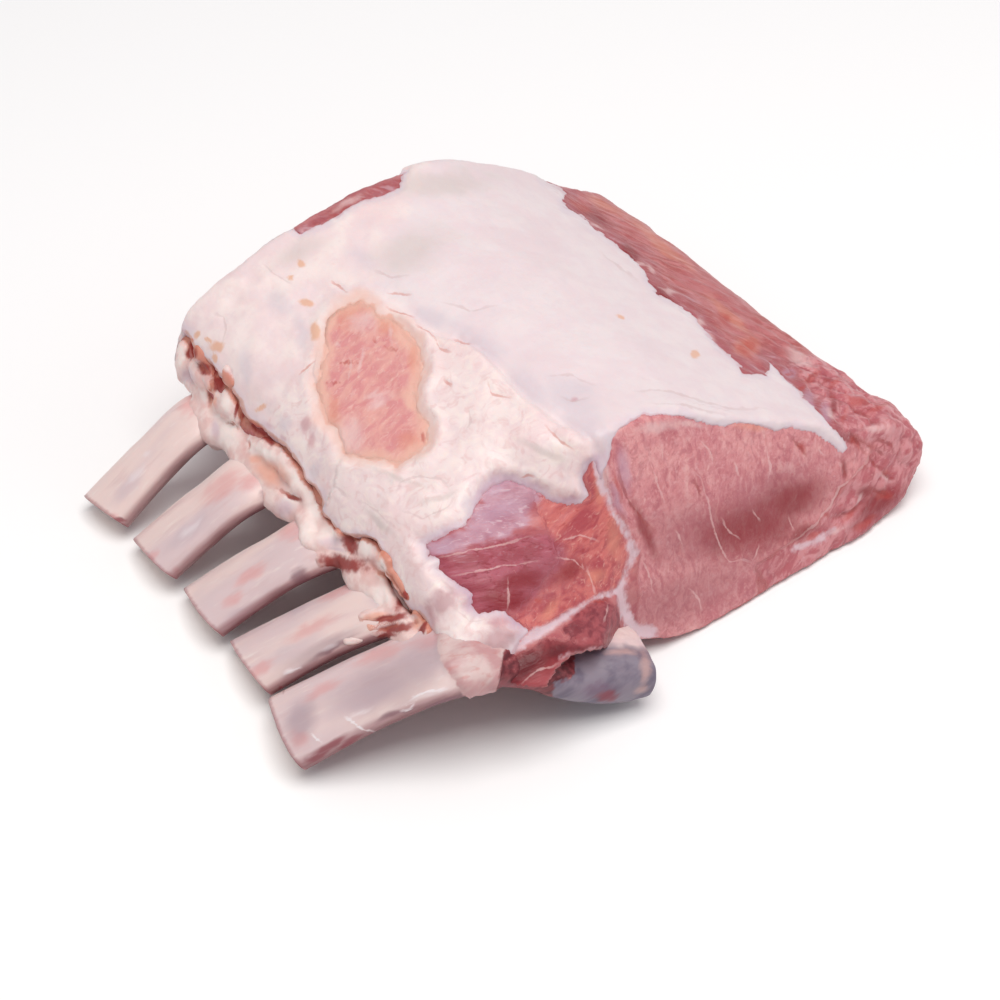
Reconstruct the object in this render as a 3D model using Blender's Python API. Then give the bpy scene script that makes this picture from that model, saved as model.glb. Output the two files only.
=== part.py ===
"""Pork rack: a block of loin with its fat cap, on five cleaned rib bones.

The bones point along -X, the spine runs along Y and the cut face that shows the loin eye
looks towards -Y. The rack rests on the flat underside of the loin and on the bone ends.
Lengths are in millimetres in this file's numbers and become metres through MM.
"""

import math

import bmesh
import bpy
from mathutils import Vector

MM = 0.001

# The block of meat: its length along the spine and the slant of its cut ends.
NEAR_END_Y = -72.0
FAR_END_Y = 105.5
LOIN_FACE_TILT = 20.0
RIB_SIDE_END_Y = -81.0
RIB_SIDE_TILT = 58.0
RIB_SIDE_KNEE_Z = 30.0
RIB_SIDE_SETBACK = 0.8
RIB_SIDE_TURN_X = -44.0
RIB_SIDE_START_X = 6.0
RIB_SIDE_FULL_X = -32.0
FAR_FACE_TILT = 6.0
END_ROUNDING = 3.5
EDGE_SHARE = 0.955
FACE_CENTRE = (29.0, 34.0)

# Outline of the block's section, from the rib side over the crown to the thin edge and back
# along the underside: (x, z) at the cut face with the loin eye, then at the far end.
SECTION = [
    ((-52, 29.5), (-51, 28)),
    ((-60, 37), (-59, 41)),
    ((-51, 54), (-51.5, 60)),
    ((-26, 66), (-26, 72)),
    ((4.5, 75), (6, 80)),
    ((32, 70), (41, 78.5)),
    ((63, 55), (76, 63.5)),
    ((96.5, 38.5), (104, 43.5)),
    ((128, 21.5), (128, 25)),
    ((116, 3.5), (121, 5.5)),
    ((81, -1), (83, -1)),
    ((36, -1), (38, -1)),
    ((5.5, 5.5), (5.5, 5.5)),
    ((-22, 23.5), (-21.5, 17.5)),
]

# Fat cap: its thickness at each point of the section, and its outline seen from above, which
# leaves bare the muscle at the rib side's near corner, the thin edge and a notch at the far cut.
FAT_DEPTH = [3.5, 4.5, 5.5, 6.5, 7, 6.5, 5.5, 4, 3.5, 3.5, 3.5, 3.5, 3.5, 3.5]
FAT_SHARE_AT_FACE = 0.6
FAT_OVER_CORNER = 4.5
PAST_THE_CUT = 8.0
FAT_OUTLINE = [
    (-76, 117), (-30, 117), (-20, 92), (2, 86), (22, 86), (36, 117), (112, 117),
    (96, 92), (84, 56), (87, 33), (85, 10), (79, -15), (88, -27), (90, -40), (89, -53),
    (102, -60), (104, -94), (15, -94), (10, -56), (4, -46), (-9, -41), (-17, -33), (-30, -30),
    (-43, -29), (-50, -33), (-52, -43), (-48, -58), (-46, -70), (-46, -94), (-76, -94),
]
FAT_LOWEST_Z = 35.0
FAT_CORNER_Z = 30.0
FAT_CORNER_Y = (-20.0, -65.0)
STEP_X = (1.0, 9.0)
WINDOW_CENTRE = (-29.0, 25.0)
WINDOW_RADII = (13.0, 30.5)
WINDOW_TURN = -13.0
BELOW_WINDOW_Z = 30.0
ABOVE_FAT_Z = 120.0
ABOVE_ZONE_Z = 130.0

# Rib bones: where each one leaves the meat and where its sawn end lies, seen from above.
RIB_BASES = [(-63, 81), (-65, 45), (-63, 9), (-61, -24.5), (-61, -56)]
RIB_TIPS = [(-98, 85), (-96.5, 55.5), (-96.5, 26), (-97.5, -3), (-103, -32)]
RIB_HEADS_Y = [76, 37, -3, -39, -73]
RIB_WIDTHS = [21.5, 25.0, 25.5, 26.0, 29.0]
RIB_THICKNESS = [10.5, 11.0, 11.0, 11.0, 13.0]
RIB_HEAD_X = -4.5
RIB_CROWNS_Z = [29.5, 29.5, 29.5, 29.5, 32.0]
RIB_HEAD_Z = 11.0
TIP_LIFT = 1.0
SAW_SKEWS = [13.0, 17.0, 20.0, 23.0, 13.0]

# A bone's half width and half thickness along it, as shares of the halves above.
NECK_WIDTH = 0.84
FLAT_WIDTH = 0.10
END_WIDTH = 0.06
NECK_THICKNESS = 0.92
KNOB_THICKNESS = 0.55
KNOB_AT = 0.10
KNOB_LENGTH = 0.09
END_THICKNESS = 0.08
BONE_SQUARENESS = 0.8

# Strip of trimmed rib meat that lies over the bones beside the fat cap's edge.
FLAP_PATH = [(-60, 87), (-59.5, 68), (-60, 43), (-58.5, 12), (-60, -13), (-65, -38), (-67.5, -54)]
FLAP_HEIGHT_Z = 33.0
FLAP_WIDTH = 17.0
FLAP_THICKNESS = 13.5
FLAP_SLOPE = 0.35
FLAP_DROP = 5.5
FLAP_DROP_FROM_Y = -18.0
FLAP_DROP_TO_Y = -56.0
FLAP_WAVES = [(0.12, 21.0, 0.0), (0.08, 47.0, 1.0)]

GAP = 0.3  # between neighbours that touch
SAME_POINT = 0.02
AROUND_BLOCK = 42
ALONG_BLOCK = 14
AROUND_RIB = 12
ALONG_RIB = 14
AROUND_FLAP = 8
ALONG_FLAP = 22


def spline(points, at, closed):
    """Point at a place along a smooth curve through the points, 1 apart in the place's units."""
    count = len(points)
    first = math.floor(at) if closed else min(math.floor(at), count - 2)
    part = at - first
    wrap = (lambda i: i % count) if closed else (lambda i: max(0, min(count - 1, i)))
    a, b, c, d = (Vector(points[wrap(first + step)]) for step in (-1, 0, 1, 2))
    bend = (2 * a - 5 * b + 4 * c - d) * part**2 + (3 * b - a - 3 * c + d) * part**3
    return b + 0.5 * ((c - a) * part + bend)


def smooth_step(low, high, value):
    part = max(0.0, min(1.0, (value - low) / (high - low)))
    return part * part * (3 - 2 * part)


def near_face_y(x, z):
    """The cut face: it leans back at the loin eye, and on the rib side it is steep over the bone
    and then slopes far back."""
    rib_side = smooth_step(RIB_SIDE_FULL_X, RIB_SIDE_START_X, x)
    loin = NEAR_END_Y + z * math.tan(math.radians(LOIN_FACE_TILT))
    setback = RIB_SIDE_SETBACK * max(0.0, RIB_SIDE_TURN_X - x)
    slope = math.tan(math.radians(RIB_SIDE_TILT)) * max(0.0, z - RIB_SIDE_KNEE_Z)
    return loin + (RIB_SIDE_END_Y + setback + slope - loin) * (1 - rib_side)


def far_face_y(x, z):
    return FAR_END_Y - z * math.tan(math.radians(FAR_FACE_TILT))


def section_point(u, s, under_fat=False):
    """(x, z) on the block's outline, u round it and s along the spine, or under the fat there."""
    outline = [Vector(near).lerp(Vector(far), s) for near, far in SECTION]
    if under_fat:
        inner = []
        share = FAT_SHARE_AT_FACE + (1 - FAT_SHARE_AT_FACE) * smooth_step(0.0, 0.2, s)
        for i, point in enumerate(outline):
            across = outline[(i + 1) % len(outline)] - outline[i - 1]
            inward = Vector((across.y, -across.x)).normalized()
            inner.append(point + inward * FAT_DEPTH[i] * share)
        outline = inner
    x, z = spline(outline, u * len(outline), closed=True)
    return x, max(z, 0.0)


def wrapped_sheet(name, around, rings, place):
    """A closed body: a grid whose columns go round it and whose rows are its rings."""
    mesh = bmesh.new()
    bmesh.ops.create_grid(mesh, x_segments=around, y_segments=rings - 1, size=1.0)
    for vert in mesh.verts:
        u = (vert.co.x + 1) / 2
        row = round((vert.co.y + 1) / 2 * (rings - 1))
        vert.co = Vector(place(u % 1.0, row)) * MM
    bmesh.ops.remove_doubles(mesh, verts=mesh.verts, dist=SAME_POINT * MM)
    bmesh.ops.recalc_face_normals(mesh, faces=mesh.faces)
    bmesh.ops.triangulate(mesh, faces=mesh.faces)
    return new_object(name, mesh)


def new_object(name, mesh):
    data = bpy.data.meshes.new(name)
    mesh.to_mesh(data)
    mesh.free()
    piece = bpy.data.objects.new(name, data)
    bpy.context.scene.collection.objects.link(piece)
    return piece


def end_rings(rounding):
    """Rings of an end cap: (share of the section, distance in from the end)."""
    rings = [(share, 0.0) for share in (0.0, 0.3, 0.58, 0.82)]
    for degrees in (20, 45, 70, 90):
        turn = math.radians(degrees)
        rings.append((EDGE_SHARE + (1 - EDGE_SHARE) * math.sin(turn), rounding * (1 - math.cos(turn))))
    return rings


def make_block(name, under_fat=False, grow=0.0):
    """The block of meat, or the space under its fat, which runs out through the cut ends."""
    ends = end_rings(END_ROUNDING)
    rows = [(share, 0.0, depth) for share, depth in ends]
    rows += [(1.0, (i + 1) / (ALONG_BLOCK + 1), END_ROUNDING) for i in range(ALONG_BLOCK)]
    rows += [(share, 1.0, depth) for share, depth in reversed(ends)]

    def place(u, row):
        share, s, depth = rows[row]
        x, z = section_point(u, s, under_fat)
        x = FACE_CENTRE[0] + (x - FACE_CENTRE[0]) * share
        z = FACE_CENTRE[1] + (z - FACE_CENTRE[1]) * share
        near = near_face_y(x, z) + depth
        far = far_face_y(x, z) - depth
        if under_fat:
            near += FAT_OVER_CORNER - (FAT_OVER_CORNER + PAST_THE_CUT) * smooth_step(*STEP_X, x)
            far += PAST_THE_CUT
        return x, near + (far - near) * s, z

    block = wrapped_sheet(name, AROUND_BLOCK, len(rows), place)
    if grow:
        puff(block, grow)
    return block


def puff(piece, distance):
    """Moves every point of a closed body out along its normal, to leave a gap round a neighbour."""
    mesh = bmesh.new()
    mesh.from_mesh(piece.data)
    mesh.normal_update()
    moved = [(vert, vert.co + vert.normal * distance * MM) for vert in mesh.verts]
    for vert, place in moved:
        vert.co = place
    mesh.to_mesh(piece.data)
    mesh.free()


def make_fat_zone(name, grow):
    """The space above the meat's own surface and inside the cap's outline, less the bare window."""
    count = len(FAT_OUTLINE)
    steps = 3 * count
    outline = [spline(FAT_OUTLINE, i / 3, closed=True) for i in range(steps)]

    mesh = bmesh.new()
    bottom = []
    for i, point in enumerate(outline):
        along = (outline[(i + 1) % steps] - outline[i - 1]).normalized()
        point = point + Vector((-along.y, along.x)) * grow
        corner = smooth_step(*FAT_CORNER_Y, point.y)
        z = FAT_LOWEST_Z + (FAT_CORNER_Z - FAT_LOWEST_Z) * corner - grow
        bottom.append(mesh.verts.new(Vector((point.x, point.y, z)) * MM))
    face = mesh.faces.new(bottom)
    raised = bmesh.ops.extrude_face_region(mesh, geom=[face])["geom"]
    for vert in raised:
        if isinstance(vert, bmesh.types.BMVert):
            vert.co.z = ABOVE_FAT_Z * MM
    bmesh.ops.recalc_face_normals(mesh, faces=mesh.faces)
    bmesh.ops.triangulate(mesh, faces=mesh.faces)
    zone = new_object(name, mesh)

    window = make_window(name + "_window", -grow)
    core = make_block(name + "_core", under_fat=True, grow=-grow)
    cut(zone, window)
    cut(zone, core)
    as_cutter(zone)
    return zone


def make_window(name, grow):
    """Upright plug with the outline of the oval where the muscle shows through the fat."""
    mesh = bmesh.new()
    ring = bmesh.ops.create_circle(mesh, cap_ends=True, segments=28, radius=1.0)["verts"]
    turn = math.radians(WINDOW_TURN)
    for vert in ring:
        x = vert.co.x * (WINDOW_RADII[0] + grow)
        y = vert.co.y * (WINDOW_RADII[1] + grow)
        vert.co.x = (WINDOW_CENTRE[0] + x * math.cos(turn) - y * math.sin(turn)) * MM
        vert.co.y = (WINDOW_CENTRE[1] + x * math.sin(turn) + y * math.cos(turn)) * MM
        vert.co.z = BELOW_WINDOW_Z * MM
    raised = bmesh.ops.extrude_face_region(mesh, geom=mesh.faces[:])["geom"]
    for vert in raised:
        if isinstance(vert, bmesh.types.BMVert):
            vert.co.z = ABOVE_ZONE_Z * MM
    bmesh.ops.recalc_face_normals(mesh, faces=mesh.faces)
    bmesh.ops.triangulate(mesh, faces=mesh.faces)
    return new_object(name, mesh)


def rib_route(number):
    """The bone's centre line from its head under the meat, over the crown, down to its sawn end."""
    base = RIB_BASES[number]
    tip = RIB_TIPS[number]
    head_y = RIB_HEADS_Y[number]
    crown_z = RIB_CROWNS_Z[number]
    half = RIB_THICKNESS[number] / 2
    return [
        Vector((RIB_HEAD_X, head_y - 2, RIB_HEAD_Z - 1)),
        Vector((RIB_HEAD_X - 22, head_y + 4, RIB_HEAD_Z + 6)),
        Vector((RIB_HEAD_X - 40, (head_y + base[1]) / 2 + 3, crown_z - 3)),
        Vector((base[0], base[1], crown_z)),
        Vector(((base[0] + tip[0]) / 2, (base[1] + tip[1]) / 2, (crown_z + half) / 2 + 1.5)),
        Vector((tip[0], tip[1], half * 0.9 + TIP_LIFT)),
    ]


def rib_size(number, share):
    """Half width and half thickness: a knob at the head, a slim neck, then the flat bone."""
    knob = math.exp(-(((share - KNOB_AT) / KNOB_LENGTH) ** 2))
    flat = smooth_step(0.3, 0.6, share)
    flare = smooth_step(0.75, 1.0, share)
    width = NECK_WIDTH + FLAT_WIDTH * flat + END_WIDTH * flare
    thickness = NECK_THICKNESS + KNOB_THICKNESS * knob + END_THICKNESS * flare
    return RIB_WIDTHS[number] / 2 * width, RIB_THICKNESS[number] / 2 * thickness


def squared(value):
    """A cosine or sine with its rounded shape squared up a little."""
    return math.copysign(abs(value) ** BONE_SQUARENESS, value)


def make_rib(name, number, grow=0.0):
    route = rib_route(number)
    spans = len(route) - 1
    caps = (0.0, 0.55, 0.86)
    rows = [(0.004 * i, cap) for i, cap in enumerate(caps)]
    rows += [(0.03 + 0.97 * i / (ALONG_RIB - 1), 1.0) for i in range(ALONG_RIB)]
    rows += [(1.0, 0.9), (1.0, 0.5), (1.0, 0.0)]

    def place(u, row):
        share, size = rows[row]
        middle = spline(route, share * spans, closed=False)
        ahead = spline(route, min(share + 0.01, 1.0) * spans, closed=False)
        behind = spline(route, max(share - 0.01, 0.0) * spans, closed=False)
        along = (ahead - behind).normalized()
        across = along.cross(Vector((0, 0, 1))).normalized()
        upward = across.cross(along)
        half_width, half_height = rib_size(number, share)
        turn = 2 * math.pi * u
        sideways = squared(math.cos(turn)) * (half_width + grow) * size
        lift = squared(math.sin(turn)) * (half_height + grow) * size
        skew = math.tan(math.radians(SAW_SKEWS[number])) * sideways * smooth_step(0.8, 1.0, share)
        past_the_end = grow if share == 1.0 else -grow if row == 0 else 0.0
        return middle + across * sideways + upward * lift + along * (skew + past_the_end)

    return wrapped_sheet(name, AROUND_RIB, len(rows), place)


def make_flap(name):
    """A lumpy strip along the bones' bases, thicker between the bones."""
    spans = len(FLAP_PATH) - 1

    def place(u, row):
        share = row / (ALONG_FLAP - 1)
        x, y = spline(FLAP_PATH, share * spans, closed=False)
        size = math.sqrt(max(0.0, 1 - (2 * share - 1) ** 8)) if 0 < row < ALONG_FLAP - 1 else 0.0
        ripple = 1 + sum(part * math.sin(share * waves + start) for part, waves, start in FLAP_WAVES)
        turn = 2 * math.pi * u
        sideways = math.cos(turn) * FLAP_WIDTH / 2 * size * ripple
        lift = math.sin(turn) * FLAP_THICKNESS / 2 * size
        drop = FLAP_DROP * smooth_step(FLAP_DROP_FROM_Y, FLAP_DROP_TO_Y, y)
        return x + sideways, y, FLAP_HEIGHT_Z - drop + lift + sideways * FLAP_SLOPE

    return wrapped_sheet(name, AROUND_FLAP, ALONG_FLAP, place)


def add_boolean(piece, other, operation):
    modifier = piece.modifiers.new(operation.lower() + "_" + other.name, "BOOLEAN")
    modifier.operation = operation
    modifier.solver = "EXACT"
    modifier.object = other


def cut(piece, cutter):
    as_cutter(cutter)
    add_boolean(piece, cutter, "DIFFERENCE")


def as_cutter(piece):
    piece.hide_render = True
    piece.display_type = "WIRE"


def stand_on_origin(pieces, helpers):
    """Moves the whole object so that the middle of its footprint is at the origin."""
    bpy.context.view_layer.update()
    graph = bpy.context.evaluated_depsgraph_get()
    corners = []
    for piece in pieces:
        corners += [Vector(corner) for corner in piece.evaluated_get(graph).bound_box]
    low = Vector(min(corner[axis] for corner in corners) for axis in range(3))
    high = Vector(max(corner[axis] for corner in corners) for axis in range(3))
    shift = Vector(((low.x + high.x) / 2, (low.y + high.y) / 2, low.z))
    for piece in pieces + helpers:
        piece.location = -shift
    print("moved by", [round(-value / MM, 2) for value in shift], "mm")


def finish_material(name, colour, roughness):
    material = bpy.data.materials.new(name)
    material.use_nodes = True
    shader = material.node_tree.nodes["Principled BSDF"]
    shader.inputs["Base Color"].default_value = (*colour, 1.0)
    shader.inputs["Roughness"].default_value = roughness
    shader.inputs["Metallic"].default_value = 0.0
    return material


def main():
    for leftover in list(bpy.data.objects):
        bpy.data.objects.remove(leftover)

    muscle = finish_material("raw_pork", (0.52, 0.19, 0.20), 0.45)
    fat = finish_material("pork_fat", (0.80, 0.66, 0.66), 0.5)
    bone = finish_material("rib_bone", (0.66, 0.52, 0.53), 0.4)
    rib_meat = finish_material("rib_meat", (0.66, 0.42, 0.40), 0.5)

    ribs = []
    grooves = []
    for number in range(len(RIB_BASES)):
        rib = make_rib(f"rib_{number + 1}", number)
        rib.data.materials.append(bone)
        ribs.append(rib)
        grooves.append(make_rib(f"groove_{number + 1}", number, grow=GAP))

    lean = make_block("lean")
    lean.data.materials.append(muscle)
    fat_hollow = make_fat_zone("fat_hollow", grow=0.0)
    cut(lean, fat_hollow)

    cap = make_block("fat_cap")
    cap.data.materials.append(fat)
    fat_zone = make_fat_zone("fat_zone", grow=-GAP)
    add_boolean(cap, fat_zone, "INTERSECT")

    flap = make_flap("rib_flap")
    flap.data.materials.append(rib_meat)
    block_room = make_block("block_room", grow=GAP)
    cut(flap, block_room)

    for groove in grooves:
        cut(lean, groove)
        cut(cap, groove)
        cut(flap, groove)

    pieces = [lean, cap, flap] + ribs
    helpers = [piece for piece in bpy.data.objects if piece not in pieces]
    stand_on_origin(pieces, helpers)


main()
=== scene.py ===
# %% [markdown]
# # A raw rack of pork
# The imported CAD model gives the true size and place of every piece: the muscle, the fat cap, the
# strip of rib meat and five bones. This script keeps that frame and builds the looks round it.
# Lengths are in millimetres, in the frame's own axes, until a mesh is made.

# %% Load the frame
import math

import bmesh
import bpy
import numpy as np
from mathutils import Matrix, Vector


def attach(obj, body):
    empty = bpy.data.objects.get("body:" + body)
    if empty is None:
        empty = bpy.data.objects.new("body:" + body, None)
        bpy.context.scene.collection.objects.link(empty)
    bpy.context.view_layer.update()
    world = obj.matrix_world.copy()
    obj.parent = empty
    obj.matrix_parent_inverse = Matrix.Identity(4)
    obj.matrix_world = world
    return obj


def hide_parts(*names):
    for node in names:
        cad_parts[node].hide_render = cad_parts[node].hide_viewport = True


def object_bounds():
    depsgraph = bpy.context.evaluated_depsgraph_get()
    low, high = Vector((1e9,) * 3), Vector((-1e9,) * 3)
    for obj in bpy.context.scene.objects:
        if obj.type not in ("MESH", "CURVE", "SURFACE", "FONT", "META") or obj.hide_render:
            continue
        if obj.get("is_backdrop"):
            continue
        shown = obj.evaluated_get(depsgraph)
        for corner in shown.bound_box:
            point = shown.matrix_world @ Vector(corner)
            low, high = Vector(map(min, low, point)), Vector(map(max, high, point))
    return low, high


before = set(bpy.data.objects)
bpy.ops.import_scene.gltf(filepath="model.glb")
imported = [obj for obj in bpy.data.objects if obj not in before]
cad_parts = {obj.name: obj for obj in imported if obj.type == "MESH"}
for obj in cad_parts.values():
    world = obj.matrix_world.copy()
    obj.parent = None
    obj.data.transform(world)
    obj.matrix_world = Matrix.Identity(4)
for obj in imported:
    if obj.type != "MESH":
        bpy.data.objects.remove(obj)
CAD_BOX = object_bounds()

MM = 0.001
scene = bpy.context.scene
print("nodes:", sorted(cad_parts))

# %% [markdown]
# ## The camera
# A camera is a place, a direction and a lens. The rack was seen from its bone side and from well
# above, through a long lens, so lines that run together in space hardly converge. The same numbers
# also give the pixel where any point of the meat lands, and with that a seam or a patch of fat can
# be put where the eye sees it.

# %% Camera
AZIMUTH, ELEVATION = -37.5, 43.0
LENS, SENSOR, PICTURE = 72.0, 36.0, 1000
DISTANCE = 642.9
AIM = np.array([-10.16, -9.47, 18.0])

turn, rise = math.radians(AZIMUTH), math.radians(ELEVATION)
BACK = np.array([math.sin(turn) * math.cos(rise), -math.cos(turn) * math.cos(rise), math.sin(rise)])
RIGHT = np.array([math.cos(turn), math.sin(turn), 0.0])
UP = np.cross(BACK, RIGHT)
EYE_POINT = AIM + BACK * DISTANCE
PIXELS_PER_MM = LENS / SENSOR * PICTURE / DISTANCE

camera = bpy.data.objects.new("camera", bpy.data.cameras.new("camera"))
scene.collection.objects.link(camera)
camera.data.lens = LENS
camera.data.sensor_width = SENSOR
camera.location = Vector(EYE_POINT) * MM
camera.rotation_euler = Vector(BACK).to_track_quat("Z", "Y").to_euler()
camera.data.clip_start = 0.01
scene.camera = camera
scene.view_settings.view_transform = "Standard"


def to_picture(points):
    """Pixels, from the picture's top left corner, where points of the frame are seen."""
    away = points - EYE_POINT
    scale = LENS / SENSOR * PICTURE / -(away @ BACK)
    return np.stack([PICTURE / 2 + away @ RIGHT * scale, PICTURE / 2 - away @ UP * scale], axis=1)


print("pixels per mm at the middle:", round(PIXELS_PER_MM, 2))

# %% [markdown]
# ## Lumps and outlines
# Meat is never even. Smooth noise, sized in millimetres, pushes a surface in and out. Other helpers
# measure how far each point lies from a line, or inside an outline, that is drawn on the picture. One
# such field can then both shape an edge and paint it.

# %% Noise, steps and outlines
OUTSIDE = -9.0  # how far inside an outline a point out of view counts as lying, in mm
FAR_AWAY = 50.0  # a distance in mm that no mark reaches
DICE = np.random.default_rng(11)
SHUFFLE = DICE.permutation(256)
SLOPES = DICE.normal(size=(256, 3))
SLOPES /= np.linalg.norm(SLOPES, axis=1)[:, None]


def lumps(points, size, start=0.0):
    """Smooth noise from about -1 to 1, whose lumps are about size wide."""
    place = points / size + start
    cell = np.floor(place).astype(int)
    part = place - cell
    ease = part**3 * (part * (part * 6 - 15) + 10)
    total = np.zeros(len(points))
    for corner in np.ndindex(2, 2, 2):
        x, y, z = ((cell + corner) & 255).T
        slope = SLOPES[SHUFFLE[(SHUFFLE[(SHUFFLE[x] + y) & 255] + z) & 255]]
        weight = np.prod(np.where(corner, ease, 1 - ease), axis=1)
        total += weight * ((part - corner) * slope).sum(axis=1)
    return total * 1.7


def step(low, high, value):
    """0 below low, 1 above high, and smooth between them."""
    part = np.clip((value - low) / (high - low), 0, 1)
    return part * part * (3 - 2 * part)


def to_segments(pixels, path):
    """Distance to the nearest piece of the path in mm, which side of it, and how far along it."""
    path = np.array(path, float)
    best = np.full(len(pixels), 1e9)
    side = np.zeros(len(pixels))
    along = np.zeros(len(pixels))
    for i, (a, b) in enumerate(zip(path, path[1:])):
        run = b - a
        share = np.clip(((pixels - a) @ run) / (run @ run), 0, 1)
        off = pixels - a - share[:, None] * run
        gap = np.hypot(*off.T)
        near = gap < best
        best[near] = gap[near]
        side[near] = np.sign(run[0] * off[near, 1] - run[1] * off[near, 0])
        along[near] = (i + share[near]) / (len(path) - 1)
    return best / PIXELS_PER_MM, side, along


def inside(pixels, outline):
    """How far each pixel lies inside a closed outline, in mm, and negative outside it."""
    path = np.array(outline + outline[:1], float)
    gap = to_segments(pixels, path)[0]
    crossings = np.zeros(len(pixels), int)
    for a, b in zip(path, path[1:]):
        spans = (a[1] > pixels[:, 1]) != (b[1] > pixels[:, 1])
        reach = a[0] + (pixels[:, 1] - a[1]) / (b[1] - a[1] + 1e-9) * (b[0] - a[0])
        crossings += spans & (pixels[:, 0] < reach)
    return np.where(crossings % 2 == 1, gap, -gap)


trial = np.arange(300.0).reshape(-1, 3)
print("smooth noise runs from", lumps(trial, 7).min().round(2), "to", lumps(trial, 7).max().round(2))

# %% [markdown]
# Nothing on meat has a clean edge, so the pixels are pushed about a little before anything is
# measured on them. Three kinds of mark are drawn that way: soft oval spots, thin strokes that fade
# at both ends, and seams that have a width of their own. A stroke keeps the side as the sign of its
# distance, because a signed distance stays exact between two points of a mesh, and a line can then
# be much thinner than the squares of the mesh are wide.

# %% Spots, strokes and seams
def facing(points, normals):
    """0 where a surface is turned away from the camera, 1 where it is well in view."""
    away = EYE_POINT - points
    return step(0.0, 0.16, (away * normals).sum(axis=1) / np.linalg.norm(away, axis=1))


def bent(points, reach=3.0):
    """The pixels of the points, pushed about by smooth noise of that many pixels."""
    push = [lumps(points, 6.5, start) + 0.5 * lumps(points, 2.4, start + 3) for start in (21, 43)]
    return to_picture(points) + np.stack(push, axis=1) * reach


def spots(pixels, places):
    """0 to 1 over soft ovals, each (x, y, half length, half width, turn in degrees)."""
    total = np.zeros(len(pixels))
    for x, y, half_length, half_width, degrees in places:
        angle = math.radians(degrees)
        off = pixels - (x, y)
        along = off[:, 0] * math.cos(angle) - off[:, 1] * math.sin(angle)
        across = off[:, 0] * math.sin(angle) + off[:, 1] * math.cos(angle)
        reach = (along / half_length) ** 2 + (across / half_width) ** 2
        total = np.maximum(total, np.exp(-1.4 * reach))
    return total


def strokes(pixels, paths):
    """The signed distance in mm to the nearest thin line, and its strength from 0 to 1."""
    best = np.full(len(pixels), FAR_AWAY)
    signed, strength = best.copy(), np.zeros(len(pixels))
    for path in paths:
        gap, side, along = to_segments(pixels, path)
        near = gap < best
        best[near] = gap[near]
        signed[near] = (gap * side)[near]
        strength[near] = np.sin(np.pi * along[near]) ** 0.6 * step(2.2, 1.2, gap[near])
    return signed, strength


def seams(pixels, bands):
    """How far inside the nearest seam each pixel lies, in mm. A band is (path, widths along it)."""
    best = np.full(len(pixels), -FAR_AWAY)
    for path, widths in bands:
        gap, _, along = to_segments(pixels, path)
        half = np.interp(along, np.linspace(0, 1, len(widths)), widths) / 2
        best = np.maximum(best, half - gap)
    return best


trial = np.array([(0, 0), (5, 0), (10, 0)], float)
print("a soft spot fades from its middle to its rim:", spots(trial, [(0, 0, 10, 5, 0)]).round(2))

# %% [markdown]
# ## The block of meat
# The rack is a loin cut across at both ends. Its body is a tube with an uneven section that grows
# from the loin eye to the far end, closed by a slanted cut at each end. One grid is wrapped into
# that tube with the same section as the CAD solid, then remeshed into small even squares, because
# lumps and creases need the same density everywhere.

# %% The block's section
STAND = np.array([10.16, 9.47, 0.0])  # the middle of the footprint in the section's own drawing
NEAR_SECTION = np.array([
    (-52, 29.5), (-60, 37), (-51, 54), (-26, 66), (4.5, 75), (32, 70), (63, 55), (96.5, 38.5), (128, 21.5),
    (116, 3.5), (81, -1), (36, -1), (5.5, 5.5), (-22, 23.5),
])
FAR_SECTION = np.array([
    (-51, 28), (-59, 41), (-51.5, 60), (-26, 72), (6, 80), (41, 78.5), (76, 63.5), (104, 43.5), (128, 25),
    (121, 5.5), (83, -1), (38, -1), (5.5, 5.5), (-21.5, 17.5),
])
FAT_DEPTH = np.array([3.5, 4.5, 5.5, 6.5, 7, 6.5, 5.5, 4, 3.5, 3.5, 3.5, 3.5, 3.5, 3.5])
FACE_CENTRE = (29.0, 34.0)
END_ROUNDING = 3.5


def between_knots(knots, part):
    """Points on a smooth curve, part of the way to the next knot. knots(1) is the next one."""
    part = part[:, None]
    a, b, c, d = (knots(ahead) for ahead in (-1, 0, 1, 2))
    bend = (2 * a - 5 * b + 4 * c - d) * part**2 + (3 * b - a - 3 * c + d) * part**3
    return b + 0.5 * ((c - a) * part + bend)


def section(u, s):
    """(x, z) on the outline at u round it, s of the way from the near cut to the far one."""
    count = len(NEAR_SECTION)
    first = np.floor(u * count).astype(int)

    def knots(ahead):
        i = (first + ahead) % count
        return NEAR_SECTION[i] + (FAR_SECTION[i] - NEAR_SECTION[i]) * s[:, None]

    x, z = between_knots(knots, u * count - first).T
    return x, np.maximum(z, 0.0)


def near_face(x, z):
    """y of the near cut: leaning back at the loin eye, and sloping far back over the ribs."""
    rib_side = step(-32.0, 6.0, x)
    loin = -72.0 + z * math.tan(math.radians(20))
    setback = 0.8 * np.maximum(0.0, -44.0 - x)
    slope = math.tan(math.radians(58)) * np.maximum(0.0, z - 30.0)
    return loin + (-81.0 + setback + slope - loin) * (1 - rib_side)


def far_face(x, z):
    """y of the far cut, which leans back a little."""
    return 105.5 - z * math.tan(math.radians(6))


print("section knots:", len(NEAR_SECTION))

# %% [markdown]
# A helper makes a grid, wraps it round a body and joins its seam. Another turns a finished surface
# into even squares with Blender's Remesh modifier, which fills the body with cubes of one size and
# lays a new skin over them. Two more read a mesh's points as arrays and write them back.

# %% Wrapping and remeshing
def new_piece(name, mesh):
    data = bpy.data.meshes.new(name)
    mesh.to_mesh(data)
    mesh.free()
    piece = bpy.data.objects.new(name, data)
    scene.collection.objects.link(piece)
    return piece


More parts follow.
